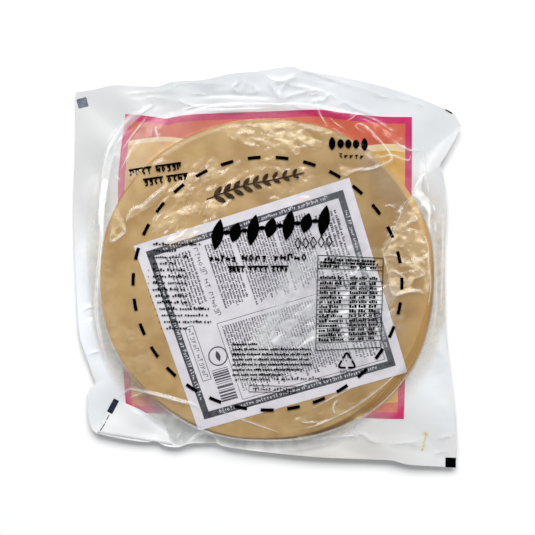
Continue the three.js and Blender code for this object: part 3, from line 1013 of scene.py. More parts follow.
class Nodes:
    """A small helper that writes one node material."""

    def __init__(self, name: str) -> None:
        """Start an empty material of that name."""
        self.material = bpy.data.materials.new(name)
        self.material.use_nodes = True
        self._tree = self.material.node_tree
        self._tree.nodes.clear()
        self.place = self.add("TexCoord").outputs["Object"]

    def feed(self, value: Port, end: Socket) -> None:
        """Link a socket to an input, or set the input to a plain value.

        Args:
            value: The socket or the value.
            end: The input.
        """
        if isinstance(value, Socket):
            self._tree.links.new(value, end)
        else:
            end.default_value = value

    def add(self, kind: str, *ports: Port, **values: object) -> bpy.types.Node:
        """Add a node and fill its inputs.

        Args:
            kind: Blender's name for the node type, after ShaderNode.
            *ports: What the node's inputs get, in their order: sockets or plain values.
            **values: What inputs get by name, with _ for a space, or node properties in
                lower case.

        Returns:
            The node.
        """
        node = self._tree.nodes.new(f"ShaderNode{kind}")
        for name, value in values.items():
            label = name.replace("_", " ")
            if label in node.inputs:
                self.feed(value, node.inputs[label])
            else:
                setattr(node, name, value)
        for value, end in zip(ports, node.inputs):
            self.feed(value, end)
        return node

    def result(self, kind: str, *ports: Port, **values: object) -> Socket:
        """Add a node as add() does, and give its first output."""
        return self.add(kind, *ports, **values).outputs[0]

    def attribute(self, name: str) -> Socket:
        """Read a value that the piece's points carry."""
        return self.add("Attribute", attribute_name=name).outputs["Fac"]

    def noise(self, size: float, detail: float, stretch: Sequence[float] = (1.0, 1.0, 1.0)) -> Socket:
        """Add a noise pattern on the object's own coordinates.

        Args:
            size: The pattern's grain, in millimetres.
            detail: How many finer layers it has.
            stretch: Scale along each axis.

        Returns:
            The pattern's value socket.
        """
        place = self.result("Mapping", Vector=self.place, Scale=stretch)
        return self.result("TexNoise", Vector=place, Scale=1.0 / (size * MM), Detail=detail)

    def spread(self, value: Socket, **limits: float) -> Socket:
        """Map a value from one range to another, both 0 to 1 if nothing is said, clamped."""
        return self.result("MapRange", Value=value, **limits)

    def mix(self, factor: Socket, first: Colour | Socket, second: Colour | Socket) -> Socket:
        """Mix two colours.

        Args:
            factor: The share of the second colour.
            first: A colour or a colour socket.
            second: A colour or a colour socket.

        Returns:
            The mixed colour's socket.
        """
        node = self.add("Mix", data_type="RGBA", Factor=factor)
        for end, colour in zip(node.inputs[6:8], (first, second)):
            self.feed(colour if isinstance(colour, Socket) else (*colour, 1.0), end)
        return node.outputs[2]

    def product(self, first: Socket, second: Socket) -> Socket:
        """Multiply two values, and keep the result between 0 and 1."""
        return self.result("Math", first, second, operation="MULTIPLY", use_clamp=True)

    def blend(self, factor: Socket, first: Socket, second: Socket) -> Socket:
        """Mix two shaders."""
        return self.result("MixShader", factor, first, second)

    def diffuse(self, colour: Colour, **values: object) -> Socket:
        """Add a matt shader."""
        return self.result("BsdfDiffuse", Color=(*colour, 1.0), **values)

    def lifted_normal(self, lift: float) -> Socket:
        """Bend the surface's direction upwards, as milky film takes light from all round."""
        raised = self.result("VectorMath", self.add("NewGeometry").outputs["Normal"], (0.0, 0.0, lift))
        return self.result("VectorMath", raised, operation="NORMALIZE")

    def bump(self, height: Socket, depth: float) -> Socket:
        """Turn a height pattern into a bump that is depth millimetres deep."""
        return self.result("Bump", Strength=1.0, Distance=depth * MM, Height=height)


@dataclass(frozen=True)
class Finish:
    """What every finish has: a name, and a material that is written once."""

    name: str

    def material(self) -> bpy.types.Material:
        """Give the finish's material, and write it when it is first asked for.

        Returns:
            The material.
        """
        made = bpy.data.materials.get(self.name)
        if made is None:
            nodes = Nodes(self.name)
            nodes.add("OutputMaterial", Surface=self.surface(nodes))
            made = nodes.material
        return made

    def surface(self, nodes: Nodes) -> Socket:
        """Write the finish's nodes, and give the last one's socket."""
        raise NotImplementedError


@dataclass(frozen=True)
class ClearFilmFinish(Finish):
    """Clear packing film: gloss on both sides, white where it is creased, and painted glare, painted glow
    and painted shade laid over it.
    """

    tint: Colour = (0.965, 0.97, 0.975)
    white: Colour = (0.93, 0.94, 0.945)
    warm: Colour = (0.86, 0.68, 0.42)
    shaded: Colour = (0.27, 0.29, 0.32)
    haze: float = 0.004
    face_gloss: float = 0.045
    edge_power: float = 5.0
    roughness: float = 0.2
    ripple: float = 0.03
    wrinkle: float = 4.5
    lift: float = 1.2

    def surface(self, nodes: Nodes) -> Socket:
        """Write the finish's nodes, from the clear film to the painted glare, glow and shade laid over it.

        Args:
            nodes: The material that is being written.

        Returns:
            The surface's socket.
        """
        clear = nodes.result("BsdfTransparent", Color=(*self.tint, 1.0))
        bump = nodes.bump(nodes.noise(5.0, 3.0), self.ripple)
        gloss = nodes.result("BsdfAnisotropic", Color=(1.0,) * 4, Roughness=self.roughness, Normal=bump)
        facing = nodes.add("LayerWeight", Blend=0.5, Normal=bump).outputs["Facing"]
        edge = nodes.result("Math", facing, self.edge_power, operation="POWER")
        share = nodes.spread(edge, To_Min=self.face_gloss, To_Max=1.0)
        film = nodes.blend(nodes.product(share, nodes.attribute(SHINE)), clear, gloss)
        cloud = nodes.spread(nodes.noise(14.0, 3.0), To_Min=0.0, To_Max=2.0 * self.haze)
        # Crease whitening, painted glare and painted light, as a white layer
        white = nodes.attribute(Tone.WHITE.value)
        haze = nodes.result("Math", white, cloud, operation="ADD", use_clamp=True)
        sheet = nodes.blend(haze, film, nodes.diffuse(self.white, Normal=nodes.lifted_normal(self.lift)))
        silk = nodes.noise(self.wrinkle, 4.0, (0.8, 1.3, 1.0))
        wrinkles = nodes.spread(nodes.spread(silk, From_Min=0.42, From_Max=0.62), To_Min=0.45, To_Max=1.5)
        # Painted glow: a highlight in the papadums' colour, broken up by wrinkles
        warmth = nodes.product(nodes.attribute(Tone.WARM.value), wrinkles)
        sheet = nodes.blend(warmth, sheet, nodes.diffuse(self.warm))
        # Painted shade, laid over the film where its points carry it
        return nodes.blend(nodes.attribute(Tone.SHADE.value), sheet, nodes.diffuse(self.shaded))


@dataclass(frozen=True)
class SurfaceFinish(Finish):
    """A solid finish: two colours mottled together, a grain and a gloss.

    tint is a colour of painted light or painted shade that the piece takes on where its points carry
    some painted_light_and_shade, and right_shade how far painted shade darkens it towards the right of the
    bag.
    """

    first: Colour
    second: Colour
    mottle: float
    roughness: float
    specular: float = 0.5
    grain: float = 0.6
    grain_depth: float = 0.02
    specks: Colour | None = None
    tint: Colour | None = None
    right_shade: float = 0.0

    def surface(self, nodes: Nodes) -> Socket:
        """Write the finish's nodes.

        Args:
            nodes: The material that is being written.

        Returns:
            The surface's socket.
        """
        pattern = nodes.spread(nodes.noise(self.mottle, 4.0), From_Min=0.35, From_Max=0.65)
        colour = nodes.mix(pattern, self.first, self.second)
        if self.specks:
            colour = self._speckled(nodes, colour)
        if self.tint:
            # Mix in the painted light and shade that the points carry
            colour = nodes.mix(nodes.attribute(PAINTED_LIGHT_AND_SHADE), colour, self.tint)
        # Painted shade: darker towards the right of the bag
        if self.right_shade:
            x = nodes.result("SeparateXYZ", nodes.place)
            share = nodes.spread(x, From_Min=-0.06, From_Max=0.09, To_Max=self.right_shade)
            colour = nodes.mix(share, colour, (0.12, 0.06, 0.015))
        bump = nodes.bump(nodes.noise(self.grain, 3.0), self.grain_depth)
        return nodes.result(
            "BsdfPrincipled", Base_Color=colour, Roughness=self.roughness,
            Specular_IOR_Level=self.specular, Normal=bump,
        )

    def _speckled(self, nodes: Nodes, colour: Socket) -> Socket:
        """Scatter small dark specks over a colour.

        Args:
            nodes: The material that is being written.
            colour: The colour under the specks.

        Returns:
            The speckled colour's socket.
        """
        for size, reach in ((4.2, 0.085), (2.3, 0.07)):
            cells = nodes.add("TexVoronoi", Scale=1.0 / (size * MM), Vector=nodes.place)
            near = nodes.spread(cells.outputs["Distance"], From_Min=reach, From_Max=reach * 0.55)
            lot = nodes.result("SeparateColor", cells.outputs["Color"])
            chosen = nodes.spread(lot, From_Min=0.5, From_Max=0.9)
            colour = nodes.mix(nodes.product(near, chosen), colour, self.specks)
        return colour


def ink(name: str, first: Colour, second: Colour, *surface: float) -> SurfaceFinish:
    """Describe an ink: its two colours, mottle, roughness, gloss, grain and the grain's depth."""
    return SurfaceFinish(f"{name}_print", first, second, *surface)


CLEAR_FILM = ClearFilmFinish("clear_film")
GLINT_LINE_FILM = ClearFilmFinish("crease_whitening_and_glint_film", haze=0.5)
# The white film's tint is the colour of the painted shade laid on it
WHITE_FILM = SurfaceFinish(
    "white_film", first=(0.78, 0.805, 0.835), second=(0.815, 0.84, 0.865), mottle=22.0, roughness=0.4,
    specular=0.3, grain=6.0, grain_depth=0.05, tint=(0.41, 0.385, 0.345),
)
# The papadum's tint is painted light on the bare rims of the fan, and right_shade is painted shade towards
# the right
PAPADUM = SurfaceFinish(
    "papadum", first=(0.36, 0.212, 0.068), second=(0.485, 0.318, 0.128), mottle=13.0, roughness=0.62,
    specular=0.35, grain=0.8, grain_depth=0.05, specks=(0.10, 0.055, 0.025), tint=(0.92, 0.55, 0.18),
    right_shade=0.34,
)
PAPER = SurfaceFinish("leaflet_paper", (0.61, 0.575, 0.61), (0.68, 0.65, 0.675), 9.0, 0.8, 0.1, 0.4, 0.02)
FLOOR = SurfaceFinish("studio_floor", (0.84, 0.84, 0.84), (0.85, 0.85, 0.85), 90.0, 0.9, 0.1, 2.0, 0.01)
DARK_INK = ink("dark", (0.0004, 0.0004, 0.0004), (0.0012, 0.0012, 0.0014), 3.0, 0.8, 0.0, 0.5, 0.004)
NAVY_INK = ink("navy", (0.012, 0.016, 0.028), (0.026, 0.033, 0.052), 1.2, 0.7, 0.02, 0.5, 0.004)
BROWN_INK = ink("brown", (0.02, 0.011, 0.006), (0.06, 0.035, 0.02), 2.0, 0.6, 0.04, 0.5, 0.004)
SLATE_INK = ink("slate", (0.08, 0.105, 0.14), (0.17, 0.20, 0.24), 1.4, 0.6, 0.05, 0.5, 0.004)
GREY_INK = ink("grey", (0.045, 0.045, 0.055), (0.085, 0.085, 0.10), 2.0, 0.7, 0.1, 0.4, 0.004)
PALE_INK = ink("pale", (0.52, 0.51, 0.54), (0.60, 0.59, 0.62), 2.0, 0.6, 0.4, 0.4, 0.004)
PINK_INK = ink("pink", (0.47, 0.018, 0.10), (0.53, 0.03, 0.125), 8.0, 0.6, 0.1, 3.0, 0.02)
ORANGE_INK = ink("orange", (0.52, 0.10, 0.05), (0.58, 0.13, 0.065), 8.0, 0.6, 0.1, 3.0, 0.02)
YELLOW_INK = ink("yellow", (0.56, 0.315, 0.065), (0.62, 0.37, 0.09), 10.0, 0.6, 0.1, 3.0, 0.02)
CREAM_INK = ink("cream", (0.66, 0.50, 0.28), (0.71, 0.56, 0.34), 6.0, 0.6, 0.1, 3.0, 0.02)
OLIVE_INK = ink("olive", (0.52, 0.40, 0.10), (0.66, 0.58, 0.28), 2.0, 0.6, 0.1, 0.5, 0.004)


# Printing

# Plain signs, each as strokes in a unit square
SIGNS = (
    (((0.0, 1.0), (0.0, 0.0)), ((0.0, 1.0), (1.0, 1.0), (1.0, 0.45))),
    (((0.0, 0.5), (0.5, 1.0), (1.0, 0.5), (0.5, 0.0), (0.0, 0.5)),),
    (((0.0, 0.0), (1.0, 1.0)), ((0.0, 1.0), (0.4, 0.6))),
    (((0.0, 1.0), (1.0, 1.0)), ((0.5, 1.0), (0.5, 0.35)), ((0.3, 0.0), (0.7, 0.0))),
    (((0.0, 0.2), (0.0, 1.0)), ((1.0, 0.8), (1.0, 0.0)), ((0.0, 0.5), (1.0, 0.5))),
    (((0.0, 1.0), (0.9, 1.0), (0.3, 0.5), (1.0, 0.0)),),
    (((0.0, 0.0), (1.0, 0.0), (1.0, 1.0)), ((0.4, 0.5), (0.4, 1.0))),
)
LOW_SIGN = 0.72
TALL_SIGN = 1.05


class PrintLayer:
    """Printed marks on one surface, gathered as narrow quads that follow it."""

    STROKE_FROM = 1.9

    def __init__(self, surface: HeightLaw, offset: float, step: float = 1.6) -> None:
        """Start an empty layer.

        Args:
            surface: The height of what is printed on, in millimetres.
            offset: How far the ink lies above that, in millimetres.
            step: The longest side of one quad, in millimetres.
        """
        self._surface = surface
        self._offset = offset
        self._step = step
        self._points: list[Values] = []
        self._faces: list[tuple[int, int, int, int]] = []
        self._count = 0

    def _pieces(self, length: float) -> int:
        """Say how many quads a length takes."""
        return max(1, math.ceil(length / self._step))

    def sheet(self, lines: Sequence[Values]) -> None:
        """Print a field of quads.

        Args:
            lines: The lines that it runs through, with the same number of points each.
        """
        size = len(lines[0])
        self._points.extend(lines)
        for row in range(len(lines) - 1):
            low = self._count + row * size
            self._faces += [(i, i + 1, i + size + 1, i + size) for i in range(low, low + size - 1)]
        self._count += len(lines) * size

    def ribbon(self, centre: Values, widths: Values | float, rows: int = 1) -> None:
        """Print a band along a line.

        Args:
            centre: The line's points, one row each, in millimetres.
            widths: The band's full width, everywhere or at each of them.
            rows: How many quads lie side by side across the band.
        """
        run = np.gradient(centre, axis=0)
        length = np.maximum(np.hypot(run[:, 0], run[:, 1]), 1e-6)
        side = np.stack([-run[:, 1], run[:, 0]], axis=-1) / length[:, None]
        half = side * np.broadcast_to(widths, len(centre))[:, None] / 2.0
        first, last = centre - half, centre + half
        self.sheet([first + (last - first) * row / rows for row in range(rows + 1)])

    def line(self, start: Point, end: Point, width: float) -> None:
        """Print a straight bar.

        Args:
            start: One end.
            end: The other end.
            width: The bar's width.
        """
        pieces = self._pieces(math.hypot(end[0] - start[0], end[1] - start[1]))
        share = np.linspace(0.0, 1.0, pieces + 1)[:, None]
        centre = np.array(start) + (np.array(end) - np.array(start)) * share
        self.ribbon(centre, width, self._pieces(width))

    def curve(self, points: Sequence[Point], width: float, rows: int = 1) -> None:
        """Print a bar along a smooth line."""
        length = np.hypot(*np.diff(np.array(points), axis=0).T).max()
        self.ribbon(smooth_line(points, max(8, self._pieces(length))), width, rows)

    def blade(self, start: Point, end: Point, width: float, point: float = 0.6) -> None:
        """Print a leaf that is pointed at both ends.

        Args:
            start: One tip.
            end: The other tip.
            width: The leaf's widest part.
            point: How blunt the tips are: 0.5 is round and 1 is sharp.
        """
        share = np.linspace(0.0, 1.0, 13)
        centre = np.array(start) + (np.array(end) - np.array(start)) * share[:, None]
        widths = width * np.sin(math.pi * share) ** point
        self.ribbon(centre, np.maximum(widths, 0.02), self._pieces(width))

    def arc(self, centre: Point, radii: Point, start: float, end: float, width: float) -> None:
        """Print a band along an ellipse.

        Args:
            centre: The ellipse's centre.
            radii: Its reach along X and Y.
            start: The angle that the band starts at, in degrees.
            end: The angle that it ends at.
            width: The band's width.
        """
        pieces = max(3, self._pieces(math.radians(abs(end - start)) * max(radii)))
        angles = np.radians(np.linspace(start, end, pieces + 1))
        places = [centre[0] + radii[0] * np.cos(angles), centre[1] + radii[1] * np.sin(angles)]
        self.ribbon(np.stack(places, axis=-1), width, self._pieces(width))

    def frame(self, corners: Sequence[Point], width: float) -> None:
        """Print an outline with straight sides through the given corners."""
        for start, end in zip(corners, (*corners[1:], corners[0])):
            self.line(start, end, width)

    def words(
        self, start: Point, end: Point, height: float, seed: int, letter: float = 0.62, bold: float = 0.19
    ) -> None:
        """Print a row of plain signs that stands for a line of type: blocks where it is small.

        Args:
            start: Where the row starts, on its middle line.
            end: Where it may end at most.
            height: The blocks' usual height.
            seed: Sets the row's word lengths.
            letter: A block's usual width, as a share of the height.
            bold: The strokes' width, as a share of the height.
        """
        draw = np.random.default_rng(seed)
        length, along, up = direction(start, end)
        place = 0.0
        while True:
            for _ in range(int(draw.integers(2, 9))):
                width = height * letter * draw.uniform(0.6, 1.25)
                if place + width > length:
                    return
                tall = height * draw.choice((LOW_SIGN, LOW_SIGN, LOW_SIGN, TALL_SIGN))
                base = start + along * place + up * (tall - LOW_SIGN * height) / 2.0
                if height > self.STROKE_FROM:
                    self._sign(draw.integers(len(SIGNS)), base, along, up, (width, tall), bold * height)
                else:
                    self.line(base, base + along * width, tall)
                place += width + height * 0.14
            place += height * 0.45

    def word(
        self, start: Point, end: Point, height: float, count: int, seed: int, bold: float, bar: bool = False
    ) -> None:
        """Print one word of plain signs that fills its span.

        Args:
            start: Where the word starts, on its middle line.
            end: Where it ends.
            height: The signs' height.
            count: How many signs it has.
            seed: Picks the signs.
            bold: The strokes' width, as a share of the height.
            bar: Whether a bar runs along the signs' tops.
        """
        draw = np.random.default_rng(seed)
        length, along, up = direction(start, end)
        pitch = length / count
        for index in range(count):
            tall = height * (1.0 if bar or draw.random() < 0.4 else 0.78)
            base = start + along * pitch * (index + 0.1) + up * (tall - height) / 2.0
            self._sign(draw.integers(len(SIGNS)), base, along, up, (pitch * 0.8, tall), bold * height)
        if bar:
            top = up * height / 2.0
            self.line(start + top, end + top, bold * height)

    def _sign(self, number: int, base: Values, along: Values, up: Values, size: Point, bold: float) -> None:
        """Print one sign.

        Args:
            number: Which of the signs it is.
            base: The middle of the sign's left side.
            along: The direction that the row runs in.
            up: The direction across the row.
            size: The sign's width and height.
            bold: The strokes' width.
        """
        for stroke in SIGNS[number]:
            points = np.array(stroke)
            across = (points[:, 0] * (size[0] - bold) + bold / 2.0)[:, None]
            rise = ((points[:, 1] - 0.5) * (size[1] - bold))[:, None]
            self.ribbon(base + across * along + rise * up, bold)

    def mesh(self, name: str) -> Piece:
        """Make the layer's mesh.

        Args:
            name: The new piece's name.

        Returns:
            The piece.
        """
        plan = np.vstack(self._points)
        height = self._surface(Spot(*plan.T)) + self._offset
        data = bpy.data.meshes.new(name)
        data.from_pydata((np.column_stack([plan, height]) * MM).tolist(), [], self._faces)
        data.update()
        piece = bpy.data.objects.new(name, data)
        bpy.context.scene.collection.objects.link(piece)
        return piece

    def print_as(self, name: str, finish: Finish, slot: Slot) -> None:
        """Make the layer's mesh and dress it as a print on what it follows."""
        dress(self.mesh(name), finish, replaces_solid=False)


# Sub-assemblies


@dataclass
class PapadumStack:
    """The papadums: thin uneven discs that lie on one another."""

    count: int = 14
    thickness: float = 0.6
    pitch: float = 0.662
    lowest: float = 0.36
    group: int = 3
    group_spread: float = 0.3
    unevenness: float = 0.25
    bare_fans: Point = (0.8, 3.5)
    sides: int = 144
    rings: int = 9
    rim_inset: float = 0.012
    rounding: float = 0.72

    def build(self) -> None:
        """Make the papadums from the bottom up, each from a copy of one disc."""
        pattern = self._blank()
        for index in range(self.count):
            disc = pattern.copy()
            disc.data = pattern.data.copy()
            disc.name = disc.data.name = f"papadum_{index + 1:02d}"
            bpy.context.scene.collection.objects.link(disc)
            self._shape(disc, index)
            dress(disc, PAPADUM)
        bpy.data.objects.remove(pattern)

    def _blank(self) -> Piece:
        """Model one flat disc, one millimetre in radius, with rings of faces and a rounded rim.

        Returns:
            The disc.
        """
        deselect_all()
        depth = self.thickness * MM
        bpy.ops.mesh.primitive_cylinder_add(
            vertices=self.sides, radius=MM, depth=depth, location=(0.0, 0.0, depth / 2.0)
        )
        disc = bpy.context.object
        bpy.ops.object.transform_apply(location=True, rotation=True, scale=True)
        bpy.ops.object.mode_set(mode="EDIT")
        bpy.ops.mesh.select_mode(type="FACE")
        bpy.ops.mesh.select_all(action="DESELECT")
        bpy.ops.object.mode_set(mode="OBJECT")
        for face in disc.data.polygons:
            face.select = abs(face.normal.z) > 0.9
        bpy.ops.object.mode_set(mode="EDIT")
        bpy.ops.mesh.inset(thickness=self.rim_inset * MM, depth=0.0)
        for _ in range(self.rings):
            bpy.ops.mesh.inset(thickness=0.98 / (self.rings + 1) * MM, depth=0.0)
        bpy.ops.object.mode_set(mode="OBJECT")
        return disc

    def _shape(self, disc: Piece, index: int) -> None:
        """Give a disc its uneven outline, its waves and its place in the stack.

        Args:
            disc: The disc, with a radius of one millimetre.
            index: Its place in the stack, 0 at the bottom.
        """
        draw = np.random.default_rng(100 + index)
        x, y, z = coordinates(disc).T
        radius, angle = np.hypot(x, y), np.arctan2(y, x)
        low, top = around(angle, LOW_REACH), around(angle, TOP_REACH)
        in_group = index % self.group
        up = (index - in_group + self.group_spread * in_group) / (self.count - 1)
        outline = low * (1.0 - up) + top * up
        for lobes in range(1, 9):
            swing = self.unevenness / math.sqrt(lobes)
            outline += draw.uniform(-swing, swing) * np.cos(lobes * angle + draw.uniform(0.0, 6.28))
        reach = radius * outline
        # Painted light: the bare rims in the fan are made lighter and warmer
        rim_light = smooth(low - top, *self.bare_fans) * smooth(reach - top, -1.5, 0.5)
        add_attribute(disc, PAINTED_LIGHT_AND_SHADE, rim_light * (0.55 + 0.45 * smooth(radius, 0.984, 0.992)))
        wave = 0.05 * np.cos(3.0 * angle + draw.uniform(0.0, 6.28)) + 0.04 * np.cos(7.0 * angle + index)
        middle = self.thickness / 2.0
        height = middle + (z - middle) * np.where(radius > 0.995, self.rounding, 1.0)
        move_points(
            disc,
            STACK_CENTRE[0] + reach * np.cos(angle),
            STACK_CENTRE[1] + reach * np.sin(angle),
            self.lowest + index * self.pitch + height + wave * smooth(radius, 0.9, 1.0),
        )


@dataclass
class Leaflet:
    """The printed paper leaflet that lies on the stack and bends down with the film at its rim."""

    form: BagForm
    rest: float = 9.78
    under_film: float = 0.3
    corners: Route = ((-72.6, 11.4), (44.3, 48.4), (75.9, -57.1), (-37.3, -88.7))
    width: float = 120.0
    length: float = 108.0
    border_inset: float = 6.9
    border_width: float = 3.6
    border_clear: float = 9.0
    ink_offset: float = 0.02
    wave: float = 0.06
    layer: PrintLayer = field(init=False)

    def place(self, across: Values, down: Values) -> tuple[Values, Values]:
        """Turn places on the sheet into plan places.

        Args:
            across: Millimetres from the sheet's left edge.
            down: Millimetres from its top edge.

        Returns:
            Places along X and Y.
        """
        a, b = across / self.width, down / self.length
        shares = ((1 - a) * (1 - b), a * (1 - b), a * b, (1 - a) * b)
        x, y = (sum(share * corner[axis] for share, corner in zip(shares, self.corners)) for axis in (0, 1))
        return x, y

    def spots(self, *places: Point) -> list[Point]:
        """Turn single places on the sheet into plan places."""
        return [tuple(map(float, self.place(*place))) for place in places]

    def height(self, spot: Spot) -> Values:
        """Give the sheet's height in millimetres."""
        lying = self.rest + self.wave * GradientNoise(31).at(spot.x / 26.0, spot.y / 26.0)
        return np.minimum(lying, self.form.cover(spot) - self.under_film)

    def build(self) -> None:
        """Make the sheet, and print its border and its type."""
        sheet, across, up = add_grid("leaflet_sheet", 60, 54)
        spot = Spot(*self.place(across * self.width, (1.0 - up) * self.length))
        move_points(sheet, spot.x, spot.y, self.height(spot))
        dress(sheet, PAPER)
        self._border()
        self.layer = PrintLayer(self.height, self.ink_offset)
        self._columns()
        self._boxes()
        self._bars()
        self.layer.print_as("leaflet_type", GREY_INK, Slot.GREY)

    def _border(self) -> None:
        """Print the grey band round the sheet and the pale blocks in it."""
        band = PrintLayer(self.height, self.ink_offset)
        marks = PrintLayer(self.height, 2.0 * self.ink_offset)
        low = self.border_inset
        right, bottom = self.width - low, self.length - low
        half = self.border_width / 2.0
        sides = (
            ((low - half, low), (right + half, low)),
            ((right, low), (right, bottom)),
            ((low - half, bottom), (right + half, bottom)),
            ((low, low), (low, bottom)),
        )
        for seed, (start, end) in enumerate(sides):
            band.line(*self.spots(start, end), self.border_width)
            clear = direction(start, end)[1] * self.border_clear
            marks.words(*self.spots(start + clear, end - clear), 2.1, 300 + seed)
        band.print_as("leaflet_border", GREY_INK, Slot.GREY)
        marks.print_as("leaflet_border_marks", PALE_INK, Slot.PAPER)

    def _columns(self) -> None:
        """Print the columns of small type and the large words, which run down the sheet."""
        # Each block: its first and last line across the sheet, its top and bottom, pitch and height
        blocks = (
            (14.5, 27.0, 11.5, 44.0, 1.75, 1.15),
            (36.0, 50.0, 11.5, 50.0, 1.6, 1.1),
            (52.5, 73.0, 11.0, 51.0, 1.5, 1.0),
            (75.0, 93.0, 11.0, 50.0, 1.5, 1.0),
            (97.0, 108.0, 14.0, 60.0, 2.1, 1.5),
            (31.0, 93.0, 56.5, 96.0, 1.5, 1.0),
            (96.0, 108.0, 64.0, 96.0, 1.9, 1.3),
        )
        draw = np.random.default_rng(41)
        for first, last, top, bottom, pitch, height in blocks:
            for number, across in enumerate(np.arange(first, last, pitch)):
                end = bottom - draw.uniform(0.0, 0.12) * (bottom - top)
                row = self.spots((across, top), (across, end))
                self.layer.words(*row, height, 500 + number + int(first * 7))
        # Each word: its place across, top and bottom, its height, sign count, seed and weight
        words = (
            (31.0, 11.0, 27.0, 3.2, 6, 97, 0.13),
            (31.0, 29.0, 34.5, 3.2, 2, 93, 0.13),
            (31.0, 36.5, 50.5, 3.2, 6, 97, 0.13),
            (13.6, 52.5, 66.0, 2.6, 6, 77, 0.15),
            (13.6, 67.5, 81.0, 2.6, 6, 77, 0.15),
        )
        for across, top, bottom, *rest in words:
            self.layer.word(*self.spots((across, top), (across, bottom)), *rest)

    def _boxes(self) -> None:
        """Print two frames, and a plain ring with a lozenge in it."""
        boxes = ((11.2, 51.5, 16.0, 82.5, 0.35), (28.6, 54.3, 110.0, 98.0, 0.3))
        for left, top, right, low, width in boxes:
            self.layer.frame(self.spots((left, top), (right, top), (right, low), (left, low)), width)
        self.layer.arc(*self.spots((23.5, 71.5)), (5.0, 5.0), 0.0, 360.0, 0.7)
        self.layer.blade(*self.spots((23.5, 68.4), (23.5, 74.6)), 2.6, 1.0)

    def _bars(self) -> None:
        """Print a column of bars, as on any packet."""
        draw = np.random.default_rng(77)
        down = 78.5
        while down < 97.0:
            width = float(draw.choice((0.35, 0.6, 0.95)))
            self.layer.line(*self.spots((17.5, down), (26.5, down)), width)
            down += width + float(draw.choice((0.4, 0.6, 0.9)))


